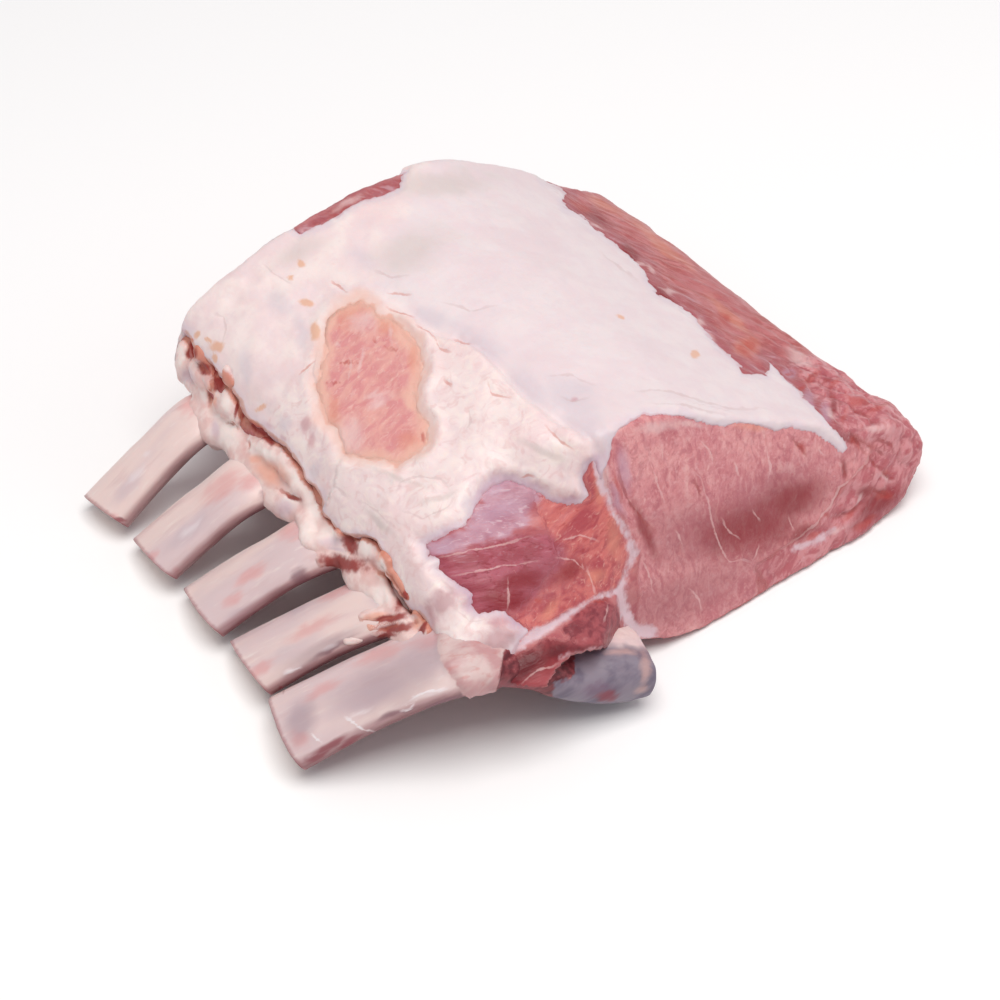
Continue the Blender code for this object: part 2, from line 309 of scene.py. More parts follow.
def wrap(name, around, rings, place):
    """A closed body from a grid: its columns go round the body and its rows are its rings."""
    mesh = bmesh.new()
    bmesh.ops.create_grid(mesh, x_segments=around, y_segments=rings - 1, size=1.0)
    grid = np.array([vert.co for vert in mesh.verts])
    u = (grid[:, 0] + 1) / 2
    row = np.round((grid[:, 1] + 1) / 2 * (rings - 1)).astype(int)
    for vert, point in zip(mesh.verts, place(np.where(u > 0.9999, 0.0, u), row)):
        vert.co = point * MM
    bmesh.ops.remove_doubles(mesh, verts=mesh.verts, dist=0.01 * MM)
    bmesh.ops.recalc_face_normals(mesh, faces=mesh.faces)
    return new_piece(name, mesh)


def read(piece):
    """A mesh's points in mm and its normals, as arrays."""
    count = len(piece.data.vertices)
    points, normals = np.empty(count * 3), np.empty(count * 3)
    piece.data.vertices.foreach_get("co", points)
    piece.data.vertex_normals.foreach_get("vector", normals)
    return points.reshape(-1, 3) / MM, normals.reshape(-1, 3)


def write(piece, points):
    piece.data.vertices.foreach_set("co", (points * MM).ravel())
    piece.data.update()


def store(piece, name, values):
    """Keeps one number, or one vector, at every point of a mesh, for its material to read."""
    flat = np.asarray(values, np.float32)
    kind = "FLOAT" if flat.ndim == 1 else "FLOAT_VECTOR"
    layer = piece.data.attributes.new(name, kind, "POINT")
    layer.data.foreach_set("value" if flat.ndim == 1 else "vector", flat.ravel())


def use_modifiers(piece):
    """Puts what the piece's modifiers make into its mesh."""
    graph = bpy.context.evaluated_depsgraph_get()
    done = bpy.data.meshes.new_from_object(piece.evaluated_get(graph))
    old = piece.data
    piece.modifiers.clear()
    piece.data = done
    bpy.data.meshes.remove(old)


def remesh(piece, size):
    """Gives a closed piece even squares of that size in mm."""
    modifier = piece.modifiers.new("even squares", "REMESH")
    modifier.mode = "VOXEL"
    modifier.voxel_size = size * MM
    use_modifiers(piece)
    print(piece.name, "has", len(piece.data.polygons), "squares of", size, "mm")

# %% [markdown]
# The rows of the block's grid are rings: some across each cut, closer together where its rim is
# rounded, and the rest along the block. The fat starts as a second skin of the same body, with finer
# squares, because its edge has to look torn.

# %% The block
ALONG, ACROSS_CUT, AROUND = 120, 24, 300
MUSCLE_SQUARES, FAT_SQUARES = 1.15, 0.95
RIM_TURNS = np.radians([8, 25, 45, 65, 90])
CAP_SHARES = np.concatenate([np.linspace(0, 0.9, ACROSS_CUT), 0.955 + 0.045 * np.sin(RIM_TURNS)])
CAP_DEPTHS = END_ROUNDING * np.concatenate([np.zeros(ACROSS_CUT), 1 - np.cos(RIM_TURNS)])
RINGS = ALONG + 2 * len(CAP_SHARES)


def block_place(u, row):
    """The block's points at u round it, in each row of the grid."""
    middle = np.linspace(0, 1, ALONG + 2)[1:-1]
    share = np.concatenate([CAP_SHARES, np.ones(ALONG), CAP_SHARES[::-1]])[row]
    s = np.concatenate([CAP_SHARES * 0, middle, CAP_SHARES * 0 + 1])[row]
    depth = np.concatenate([CAP_DEPTHS, np.full(ALONG, END_ROUNDING), CAP_DEPTHS[::-1]])[row]
    x, z = section(u, s)
    x = FACE_CENTRE[0] + (x - FACE_CENTRE[0]) * share
    z = FACE_CENTRE[1] + (z - FACE_CENTRE[1]) * share
    near = near_face(x, z) + depth
    far = far_face(x, z) - depth
    return np.stack([x, near + (far - near) * s, z], axis=1) - STAND


muscle = wrap("muscle", AROUND, RINGS, block_place)
remesh(muscle, MUSCLE_SQUARES)
block_points, block_normals = read(muscle)
fat = wrap("fat", AROUND, RINGS, block_place)
remesh(fat, FAT_SQUARES)

# %% [markdown]
# ## Where the fat ends
# The fat cap covers the crown like a torn blanket. Its edge is drawn once, as an outline on the
# picture, with the oval hole where the muscle shows through. On the far cut, which the picture
# doesn't show, the fat is the rim between the section and the same section drawn in by the fat's
# depth. The field that comes out is in millimetres: positive under the fat, negative on bare meat.

# %% The fat's outline
FAT_EDGE = [
    (165, 318), (186, 332), (197, 353), (209, 362), (218, 373), (228, 379), (233, 392), (240, 402),
    (243, 414), (250, 421), (262, 428), (273, 438), (285, 444), (293, 454), (300, 465), (306, 478),
    (317, 489), (322, 500), (326, 512), (333, 520), (342, 531), (354, 535), (367, 536), (379, 541),
    (386, 553), (392, 566), (394, 577), (402, 589), (409, 602), (414, 610), (422, 611), (430, 624),
    (436, 645), (446, 668), (462, 692), (480, 712), (497, 690), (503, 670), (511, 655), (522, 638),
    (531, 630), (516, 620), (505, 610), (480, 613), (472, 605), (474, 592), (456, 583), (437, 569),
    (441, 560), (428, 555), (425, 543), (449, 532), (466, 523), (474, 512), (483, 493), (492, 484),
    (512, 481), (533, 491), (550, 500), (567, 505), (583, 502), (591, 498), (585, 478), (590, 464),
    (597, 462), (602, 478), (608, 468), (612, 452), (614, 440), (620, 428), (632, 417), (644, 412),
    (665, 414), (684, 416), (701, 421), (720, 427), (743, 424), (757, 424), (779, 430), (795, 428),
    (812, 434), (829, 443), (845, 454), (850, 448), (842, 434), (830, 421), (815, 405), (801, 390),
    (786, 376), (770, 358), (768, 374), (745, 371), (734, 357), (718, 343), (707, 329), (695, 313),
    (679, 302), (659, 291), (650, 279), (645, 268), (637, 257), (620, 243), (598, 229), (584, 215),
    (568, 206), (564, 198), (569, 191), (560, 184), (546, 179), (538, 150), (410, 140), (402, 176),
    (399, 186), (384, 193), (364, 197), (348, 207), (337, 215), (326, 220), (312, 226), (300, 233),
    (286, 222), (235, 250), (160, 290),
]
WINDOW = [
    (331, 322), (338, 313), (347, 306), (361, 303), (371, 308), (376, 317), (388, 318), (397, 327),
    (406, 335), (415, 342), (420, 356), (421, 374), (415, 387), (414, 398), (418, 412), (427, 427),
    (427, 441), (418, 451), (409, 457), (396, 463), (384, 457), (368, 457), (348, 453), (343, 438),
    (340, 425), (331, 423), (323, 410), (320, 385), (324, 362), (328, 343),
]
CREVICE = FAT_EDGE[1:35]  # the groove between the fat cap and the strip over the bones
# On the far cut, in mm: where the fat is notched away, how far it reaches and how low it starts.
FAR_NOTCH = (-35.0, 21.0)
FAR_FAT_TO_X, FAR_FAT_FROM_Z = 84.0, 36.0
print("points on the fat's edge:", len(FAT_EDGE), "and on the window:", len(WINDOW))

# %% [markdown]
# The outline only counts where the surface is in view. The field is a little ragged, so that no
# edge of the fat comes out smooth.

# %% The fat's field
def under_fat_section():
    """The far section drawn in by the fat's depth."""
    before, after = np.roll(FAR_SECTION, 1, axis=0), np.roll(FAR_SECTION, -1, axis=0)
    across = after - before
    inward = np.stack([across[:, 1], -across[:, 0]], axis=1)
    inward /= np.linalg.norm(inward, axis=1)[:, None]
    return FAR_SECTION + inward * FAT_DEPTH[:, None] - STAND[[0, 2]]


def fat_field(points, normals):
    """How far inside the fat's edge each point lies, in mm."""
    pixels = bent(points, 1.6)
    shown = np.minimum(inside(pixels, FAT_EDGE), -inside(bent(points, 2.4), WINDOW))
    x, y, z = points.T
    ring = [tuple(knot * PIXELS_PER_MM) for knot in under_fat_section()]
    rim = -inside(points[:, [0, 2]] * PIXELS_PER_MM, ring)
    notch = np.maximum(FAR_NOTCH[0] - x, x - FAR_NOTCH[1])
    rim = np.minimum.reduce([rim, FAR_FAT_TO_X - x, z - FAR_FAT_FROM_Z, notch])
    at_far_cut = y > far_face(x, z) - STAND[1] - 6
    hidden = np.where(at_far_cut, rim, OUTSIDE)
    ragged = 0.4 * lumps(points, 2.6, 5) + 0.3 * lumps(points, 1.3, 8)
    return np.where(facing(points, normals) > 0, shown, hidden) + ragged


def fat_depth(points):
    """Thickness of the fat there: thinner towards the bones' side, the thin edge and the near cut."""
    x, y, z = points.T
    middle = np.exp(-((x - 0.0) / 70) ** 2)
    return (3.0 + 3.5 * middle) * (0.55 + 0.45 * step(-60, -20, y))


def window_gap(points, normals):
    """Distance to the window's outline in mm, positive out on the fat."""
    return np.where(facing(points, normals) > 0, -inside(bent(points, 2.4), WINDOW), FAR_AWAY)


under = fat_field(block_points, block_normals)
print("share of the block under fat:", round(float((under > 0).mean()), 2))

# %% [markdown]
# ## The muscle's surface
# Each muscle has its own grain, and pale seams part them. The outlines below are the muscles as the
# picture shows them: the loin eye with its darker heart, the side muscle behind a curved seam, and
# the patch of neck-end muscle over the bones with its film, its purple part and its orange part.

# %% The muscles' outlines
BESIDE_EYE = [(876, 448), (868, 462), (854, 478), (840, 489), (832, 506), (818, 523), (800, 538)]
LOIN_EYE = [
    (604, 452), (612, 436), (624, 420), (644, 408), (701, 415), (757, 418), (812, 428), (846, 440),
    *BESIDE_EYE, (778, 552), (757, 566), (760, 600), (720, 660), (655, 660), (630, 622), (628, 590),
    (632, 551), (618, 515),
]
SIDE_MUSCLE = [
    *BESIDE_EYE, (778, 552), (757, 566), (770, 600), (830, 610), (960, 500), (950, 400), (905, 360),
    (852, 360), (812, 352), (790, 362), (822, 408), (850, 434),
]
FILM = [
    (483, 493), (492, 482), (512, 476), (536, 484), (541, 498), (530, 515), (524, 532), (500, 540),
    (470, 545), (440, 556), (424, 548), (430, 538), (452, 531), (468, 520),
]
PURPLE = [
    (430, 556), (480, 542), (524, 532), (545, 530), (566, 545), (562, 568), (540, 590), (522, 612),
    (480, 616), (468, 602), (456, 586), (438, 572),
]
ORANGE = [
    (530, 492), (556, 502), (590, 500), (590, 456), (602, 470), (610, 492), (620, 514), (632, 540),
    (632, 570), (622, 584), (596, 596), (562, 614), (534, 632), (512, 622), (524, 600), (548, 578),
    (560, 556), (548, 530),
]
DARK_MUSCLE = [
    (560, 628), (568, 618), (580, 608), (592, 602), (606, 600), (618, 606), (623, 618), (623, 632),
    (612, 638), (590, 640), (572, 638),
]
DARK_STRIP = [
    (496, 694), (503, 669), (520, 655), (532, 650), (540, 638), (553, 640), (575, 641), (600, 637),
    (623, 630), (622, 645), (590, 649), (575, 652), (560, 660), (556, 680), (540, 696), (500, 700),
]
PATCH = [
    (415, 560), (430, 530), (470, 500), (500, 470), (560, 490), (590, 450), (606, 470), (640, 560),
    (640, 660), (560, 715), (480, 715), (470, 620),
]
MEAT_OVER_BONE = [
    (499, 660), (512, 640), (575, 635), (575, 672), (556, 684), (548, 712), (490, 712), (496, 690),
]
KNOB_SHOWN = [
    (548, 690), (556, 670), (572, 654), (600, 648), (640, 650), (668, 660), (680, 720), (560, 720),
]
# The loin eye on the far cut, in (x, z) of the section's own drawing.
FAR_EYE = [
    (-24, 36), (-30, 52), (-14, 64), (12, 70), (40, 66), (62, 50), (70, 34), (56, 20), (30, 14), (4, 18),
    (-14, 26),
]
print("points on the loin eye:", len(LOIN_EYE), "and on the side muscle:", len(SIDE_MUSCLE))

# %% [markdown]
# Pale seams of fat and film part the muscles, and fine lines run over them: flecks and threads of
# fat, and cracks between bundles, grooved and drawn dark as painted shade. A seam is a path and its
# widths in mm from end to end.

# %% Seams and lines
PALE_SEAMS = [
    ([(597, 456), (603, 488), (614, 512), (630, 537), (634, 555)], [3.4, 2.4, 1.4, 1.8, 2.6]),
    ([(634, 555), (628, 575), (623, 592), (628, 612), (634, 628), (653, 636)],
     [2.0, 1.2, 3.0, 3.2, 3.4, 4.5]),
    ([(503, 664), (516, 650), (533, 635), (553, 625), (576, 609), (596, 597), (622, 590)],
     [0.6, 1.2, 3.6, 2.4, 1.4, 1.2, 2.6]),
    ([(560, 657), (600, 648), (628, 648), (646, 656)], [0.6, 1.0, 1.6, 2.6]),
    ([(798, 549), (812, 545), (824, 538), (836, 529)], [1.8, 0.9, 1.6, 0.6]),
]
PALE_LINES = [
    [(874, 449), *BESIDE_EYE[1:], (780, 552)],
    [(757, 565), (745, 560), (732, 562), (723, 550), (715, 531), (709, 503), (701, 478), (690, 470)],
    [(722, 518), (730, 531), (741, 541)], [(754, 509), (761, 522)], [(790, 518), (794, 532)],
    [(662, 444), (664, 460)], [(760, 545), (755, 560)], [(433, 560), (470, 550), (505, 545), (533, 535)],
    [(450, 577), (490, 568), (540, 561)], [(508, 576), (509, 592), (507, 612)],
    [(588, 566), (592, 580), (597, 594)], [(556, 556), (575, 560), (588, 572)],
    [(560, 540), (580, 536), (600, 542)], [(520, 684), (540, 670), (560, 662)], [(610, 604), (604, 622)],
    [(655, 470), (660, 488), (668, 504)], [(700, 440), (710, 450), (715, 466)],
    [(768, 448), (773, 466), (770, 484)], [(642, 560), (650, 574), (655, 594)],
    [(690, 588), (700, 600), (704, 612)], [(735, 462), (742, 478)], [(820, 446), (826, 456)],
    [(676, 530), (684, 546)], [(346, 352), (352, 366), (348, 384)], [(362, 400), (376, 396), (392, 392)],
]
# Cracks between bundles: grooved, and drawn dark red as painted shade.
DARK_LINES = [
    [(620, 466), (622, 482), (629, 498), (642, 516), (658, 534)], [(793, 437), (800, 447), (808, 458)],
    [(850, 402), (862, 414), (876, 424)], [(882, 470), (889, 477), (896, 479)],
    [(870, 486), (880, 494), (890, 496)], [(832, 520), (850, 514), (866, 502)],
    [(693, 480), (700, 492), (702, 500)], [(826, 386), (838, 398), (842, 412)],
    [(600, 600), (608, 598), (614, 603)], [(850, 430), (858, 442), (868, 456)],
    [(843, 460), (846, 472), (845, 482)], [(873, 445), (880, 440), (890, 444), (894, 453)],
    [(870, 455), (876, 466), (886, 470)], [(878, 450), (884, 456)], [(818, 386), (826, 380), (834, 383)],
    [(806, 380), (812, 374), (820, 374)], [(860, 408), (872, 406), (882, 410)],
]
print("seams:", len(PALE_SEAMS), "pale lines:", len(PALE_LINES), "dark lines:", len(DARK_LINES))

# %% [markdown]
# Soft spots change the colour of one place. They are red slits in the groove, pale skins, dusky and
# deep red hearts, small red accents, and warm or cool tints.

# %% The muscle's marks
MUSCLE_MARKS = {
    "slit": [
        (256, 429, 18, 7, -28), (268, 438, 12, 5, -30), (241, 408, 5, 16, -10), (403, 596, 9, 22, -30),
        (205, 370, 12, 7, -45), (217, 384, 8, 12, -10), (348, 545, 14, 14, 30), (190, 350, 6, 14, 20),
    ],
    "pale": [
        (660, 428, 30, 8, 5), (606, 478, 8, 26, 0), (690, 424, 22, 5, -10), (378, 402, 18, 8, 25),
        (640, 646, 14, 10, 0), (625, 640, 24, 7, 8), (548, 630, 20, 7, 35), (800, 356, 20, 8, -35),
        (876, 428, 12, 7, 0), (888, 478, 10, 4, -25), (862, 500, 3, 10, -25), (838, 531, 14, 3, 40),
        (373, 394, 12, 4, 25), (361, 360, 3, 20, -8), (391, 335, 3, 12, 10), (338, 345, 4, 3, 0),
        (806, 402, 5, 14, 20), (832, 414, 10, 4, -45), (598, 226, 14, 2, -28), (640, 262, 16, 2, -25),
        (668, 290, 18, 2, -22), (700, 322, 8, 5, -40), (712, 336, 8, 5, -40), (650, 268, 10, 2, -40),
        (345, 202, 30, 5, 30), (350, 436, 20, 26, 0), (362, 322, 22, 14, 0),
    ],
    "dusk": [
        (680, 600, 120, 36, 20), (690, 535, 70, 44, 10), (775, 500, 80, 36, 20), (545, 575, 50, 30, 20),
        (880, 520, 50, 20, 40), (570, 215, 26, 12, -30), (640, 280, 50, 8, -42),
    ],
    "shade": [
        (752, 530, 74, 36, 12), (792, 502, 50, 26, 20), (802, 534, 24, 10, 30), (880, 502, 36, 16, 35),
        (646, 530, 8, 40, 20), (882, 494, 12, 8, 20), (505, 600, 34, 16, 5), (536, 662, 50, 20, 25),
        (570, 572, 24, 12, 30), (610, 645, 16, 6, 10), (520, 580, 30, 14, 10), (834, 406, 5, 12, 0),
        (845, 470, 4, 16, 8), (868, 492, 14, 8, 20), (595, 215, 22, 6, -32), (632, 252, 18, 7, -38),
        (668, 296, 26, 6, -40), (706, 346, 20, 6, -45),
    ],
    "deep": [(526, 664, 34, 14, 30), (556, 650, 20, 8, 20), (586, 648, 26, 5, 8)],
    "accent": [
        (812, 376, 14, 5, 30), (833, 384, 10, 4, 30), (846, 416, 4, 10, -20), (876, 412, 16, 4, 20),
        (856, 402, 20, 4, -25), (857, 444, 4, 14, 35), (889, 473, 7, 4, 0), (884, 496, 12, 7, 20),
        (866, 524, 22, 6, 30), (815, 537, 14, 4, 30), (828, 516, 7, 3, 0), (852, 514, 16, 4, 45),
        (803, 450, 4, 13, 35), (802, 388, 8, 3, 40), (540, 598, 8, 4, 0), (620, 490, 4, 22, 15),
        (600, 602, 9, 3, 0), (348, 363, 16, 2, 0), (334, 384, 12, 2, 0), (391, 348, 12, 3, -8),
        (423, 436, 3, 10, 15), (376, 340, 3, 5, 0), (582, 205, 20, 6, -30), (748, 346, 14, 12, 30),
        (724, 318, 12, 8, -40), (790, 372, 5, 3, 40), (800, 447, 6, 3, -50),
    ],
    "warm": [
        (757, 427, 30, 6, 0), (600, 490, 6, 24, 0), (616, 540, 12, 30, 10), (596, 575, 14, 10, 0),
        (550, 610, 20, 8, 45), (640, 668, 14, 14, 0), (352, 318, 22, 18, 20), (386, 328, 18, 10, -30),
        (414, 360, 7, 22, 0), (410, 440, 16, 14, 0), (335, 410, 10, 20, 0), (730, 316, 40, 6, -42),
        (660, 246, 60, 7, -40), (606, 206, 30, 6, -30), (748, 345, 18, 14, 20),
    ],
    "cool": [
        (495, 486, 22, 10, 10), (440, 548, 24, 10, 12), (600, 262, 44, 8, -42), (660, 302, 44, 8, -32),
        (704, 336, 30, 8, -42), (618, 500, 8, 26, 20), (850, 366, 24, 8, -35), (500, 510, 30, 12, 15),
        (625, 470, 10, 34, 8), (810, 398, 8, 14, 0), (826, 412, 8, 14, 20), (790, 372, 10, 8, 0),
    ],
}
FOLDED = [(830, 385, 120, 34, -36), (890, 450, 60, 60, 0), (850, 530, 60, 40, 30)]
# Swellings of the block beyond its smooth section: soft spots and their height in mm.
MUSCLE_BULGES = [
    ([(885, 412, 30, 20, -30)], 2.6), ([(680, 262, 120, 26, -40)], 1.7), ([(840, 378, 20, 12, -30)], 1.2),
]
print("the muscle's marks:", {kind: len(places) for kind, places in MUSCLE_MARKS.items()})

# %% [markdown]
# Each outline becomes a field on the mesh. The far cut, out of view, gets an eye and seams of its
# own, drawn in the plane of the cut.

# %% Fields on the muscle
NEAR_CUT_Y = -62.0  # nearer than this, the meat may be set back from the bone's head


def far_cut_zones(points):
    """How far out on the far cut each point lies, how far inside its eye, and inside its seams."""
    x, y, z = points.T
    far_cut = y - far_face(x, z) + STAND[1] + END_ROUNDING
    ring = [((knot_x - STAND[0]) * PIXELS_PER_MM, knot_z * PIXELS_PER_MM) for knot_x, knot_z in FAR_EYE]
    bends = [lumps(points, 16, start) + 0.4 * lumps(points, 6, start + 2) for start in (5, 6)]
    in_plane = points[:, [0, 2]] + 3.0 * np.stack(bends, axis=1)
    in_eye = inside(in_plane * PIXELS_PER_MM, ring)
    far_eye = np.where(far_cut > -2, in_eye, OUTSIDE)
    seam = 0.3 + 1.1 * lumps(points, 14) - np.abs(far_eye + 0.5)
    split = 0.2 + 0.8 * lumps(points, 12, 3) - np.abs(z - 34 + 0.55 * (x - 60) + 3 * bends[0])
    return far_cut, far_eye, np.maximum(seam, np.where((in_eye < -1) & (x > 40), split, OUTSIDE))


def picture_zones(points, normals):
    """For each outline, how far inside it each point lies in mm. A point out of view is outside."""
    pixels = bent(points)
    view = facing(points, normals)
    outlines = {
        "eye": [LOIN_EYE], "side": [SIDE_MUSCLE], "film": [FILM], "purple": [PURPLE], "orange": [ORANGE],
        "window": [WINDOW], "dark": [DARK_MUSCLE, DARK_STRIP], "patch": [PATCH],
    }
    zones = {}
    for name, parts in outlines.items():
        gap = np.maximum.reduce([inside(pixels, outline) for outline in parts])
        zones[name] = OUTSIDE + (gap - OUTSIDE) * view
    zones["knob"] = np.where(points[:, 1] < NEAR_CUT_Y, inside(pixels, KNOB_SHOWN), OUTSIDE)
    seam = np.maximum(seams(bent(points, 2.2), PALE_SEAMS), OUTSIDE)
    far_cut, far_eye, far_seam = far_cut_zones(points)
    zones["far_cut"], zones["far_eye"] = far_cut, far_eye
    zones["seam"] = np.where(far_cut > 0, far_seam, OUTSIDE + (seam - OUTSIDE) * view)
    zones["crevice"] = np.where(view > 0, -to_segments(pixels, CREVICE)[0], OUTSIDE)
    return zones


zones = picture_zones(block_points, block_normals)
shares = {name: round(float((gap > 0).mean()), 3) for name, gap in zones.items()}
print("share of the block in each:", shares)

# %% [markdown]
# Lines and marks go on the mesh in the same way for every piece, and each piece's own relief can
# use what they give back.

# %% Lines and marks on a mesh
def add_strokes(piece, points, normals, name, paths):
    """Keeps thin lines on a mesh as a signed distance and a strength, and gives their grooves."""
    signed, strength = strokes(bent(points, 1.6), paths)
    strength *= facing(points, normals)
    store(piece, name, np.stack([signed, strength, strength], axis=1))
    return np.exp(-(signed / 0.8) ** 2) * strength


def add_marks(piece, points, normals, marks):
    """Keeps each kind of soft spot on a mesh, and gives them back."""
    view, pixels = facing(points, normals), bent(points, 2.4)
    fields = {name: spots(pixels, places) * view for name, places in marks.items()}
    for name, values in fields.items():
        store(piece, name, values)
    return fields


add_marks(muscle, block_points, block_normals, MUSCLE_MARKS)
cracks = add_strokes(muscle, block_points, block_normals, "dark_lines", DARK_LINES)
threads = add_strokes(muscle, block_points, block_normals, "pale_lines", PALE_LINES)
print("share of the block in a crack:", round(float((cracks > 0.5).mean()), 4))

# %% [markdown]
# Fibres run their own way in each muscle. Noise that is read with lengths along the fibres shortened
# is drawn out into streaks, for the relief here and for the colours later. On the side muscle, curved
# creases part plump folds.

# %% Grain, folds and relief
# For each zone: the way its fibres run in the picture, across and down, and what is left of lengths.
FIBRES = [
    (None, (-1, -0.45), 0.4), ("side", (0.6, -0.8), 0.6), ("eye", (0.35, 0.94), 0.45),
    ("patch", (1, -0.18), 0.16), ("orange", (0.75, -0.65), 0.28), ("dark", (0.9, -0.45), 0.2),
    ("window", (0.55, -0.84), 0.5),
]


def grain_of(points, normals, zones):
    """The points with lengths along the fibres shortened, so that noise on them makes streaks."""
    view = facing(points, normals) > 0
    grain = points.copy()
    for zone, (across, down), share in FIBRES:
        run = RIGHT * across - UP * down
        run = run / np.linalg.norm(run)
        there = view & (zones[zone] > 0) if zone else np.full(len(points), True)
        grain[there] = points[there] - np.outer(points[there] @ run, run) * (1 - share)
    return grain


def folds_of(points, normals):
    """0 to 1 along the curved creases of the side muscle, and how plump the meat is between them."""
    fold = lumps(points, 11, 9) + 0.25 * lumps(points, 5, 4)
    wrinkle = np.exp(-(lumps(points, 4.5, 14) / 0.2) ** 2)
    where = spots(bent(points), FOLDED) * facing(points, normals)
    creases = np.maximum(np.exp(-(fold / 0.1) ** 2), 0.6 * wrinkle)
    plump = 1 - np.exp(-(fold / 0.4) ** 2)
    return creases * where, plump * where


def muscle_relief(points, grain, zones, under):
    """Height of the muscle over the smooth block, in mm."""
    bundles, strands = lumps(grain, 3.4), lumps(grain, 1.6, 2)
    in_side = step(0, 6, zones["side"])
    cut_face = step(0, 4, zones["eye"])
    height = -0.7 + 0.4 * lumps(points, 15) + 0.2 * lumps(points, 6)
    height += (0.32 * bundles + 0.14 * strands) * (1 - 0.6 * cut_face)
    height += in_side * step(0.5, -2.0, under) * (0.5 * lumps(points, 7, 3) + 0.25 * bundles)
    height -= 0.25 * np.clip(zones["seam"] + 0.8, 0, 1.5) * (1 - in_side)
    over_bones = np.maximum(zones["purple"], zones["orange"])
    height += 0.6 * step(0, 8, over_bones) + 0.5 * step(0, 4, zones["dark"])
    from_window = zones["window"]
    height = np.where(from_window > -4, 0.5 * height + 0.6 - 1.4 * step(-0.8, -2.5, from_window), height)
    pixels = to_picture(points)
    for places, rise in MUSCLE_BULGES:
        height += rise * spots(pixels, places) * step(1, -1, under)
    height -= fat_depth(points) * step(0.0, 2.2, under) * step(-1, -4, from_window)
    return height - 1.5 * np.exp(-((zones["crevice"] + 1.2) / 1.6) ** 2) * (under < 1)


grain = grain_of(block_points, block_normals, zones)
creases, plump = folds_of(block_points, block_normals)
# Kept for the material, which paints shade into these creases.
store(muscle, "creases", creases)
print("share of the block in a crease:", round(float((creases > 0.5).mean()), 4))

# %% [markdown]
# With all fields at hand, the block's points move along their normals, and the fields stay on the
# mesh for the material. Where the near bone's head shows, the meat is set back from the cut.

# %% Shape the muscle
KNOB_SETBACK = 13.0
relief = muscle_relief(block_points, grain, zones, under)
relief += (1.2 * plump - 0.45 * creases) * step(0.5, -2.0, under)
relief -= 0.6 * cracks
relief += 0.15 * threads
setback = KNOB_SETBACK * step(0, 2.5, zones["knob"])
write(muscle, block_points + block_normals * relief[:, None] + np.outer(setback, (0, 1, 0)))
for name, values in {**zones, "under": under, "grain": grain * MM}.items():
    store(muscle, name, values)
print("muscle relief from", round(relief.min(), 1), "to", round(relief.max(), 1), "mm")

# %% [markdown]
# ## The fat cap
# The cap is a shell. The block's own skin is kept where there is fat and a little past its edge,
# and doubled. The upper skin gets the lumps, creases and the step between the two layers of fat,
# and dives under the muscle at the edge, which leaves a ragged line where the two surfaces meet.

# %% The fat's marks
# The line where the upper layer of fat steps down to the lower one.
LAYER_STEP = [
    (240, 258), (300, 268), (345, 290), (373, 310), (408, 316), (436, 337), (469, 345), (491, 363),
    (505, 380), (524, 402), (552, 421), (575, 431), (588, 442), (598, 464),
]
RED_NICKS = [
    [(418, 327), (428, 333), (437, 341)], [(436, 340), (441, 351), (452, 356)],
    [(452, 337), (462, 340), (472, 342)], [(298, 374), (306, 367), (316, 360)],
    [(386, 307), (400, 313), (415, 317)], [(547, 428), (560, 441), (574, 448)],
    [(330, 279), (339, 285), (348, 293)], [(386, 293), (399, 292), (412, 294)],
    [(446, 381), (449, 386), (454, 389)], [(489, 385), (492, 397), (500, 399), (513, 402)],
    [(520, 478), (527, 475), (536, 478)],
]
# Wrinkles in the fat: shallow grooves, drawn greyer as painted shade.
WRINKLES = [
    [(632, 391), (659, 388), (695, 398), (735, 407), (772, 410)], [(650, 401), (690, 407), (730, 415)],
    [(398, 497), (402, 484), (420, 477), (440, 481), (452, 492)],
    [(404, 512), (424, 519), (446, 512), (455, 498)], [(325, 402), (313, 374), (317, 350)],
    [(262, 262), (276, 274), (290, 284)], [(222, 345), (227, 330), (222, 316), (212, 312)],
    [(332, 484), (345, 490), (352, 500)], [(470, 410), (472, 424), (466, 434)],
    [(360, 500), (380, 512), (400, 530)], [(548, 376), (572, 372), (596, 383)],
    [(560, 394), (574, 399), (590, 394)], [(440, 300), (470, 310), (500, 306)],
    [(372, 268), (390, 276), (410, 276)], [(456, 610), (470, 622), (488, 620)],
    [(440, 580), (452, 590), (450, 606)], [(478, 640), (496, 650), (508, 645)],
    [(600, 250), (620, 268), (640, 280)],
]
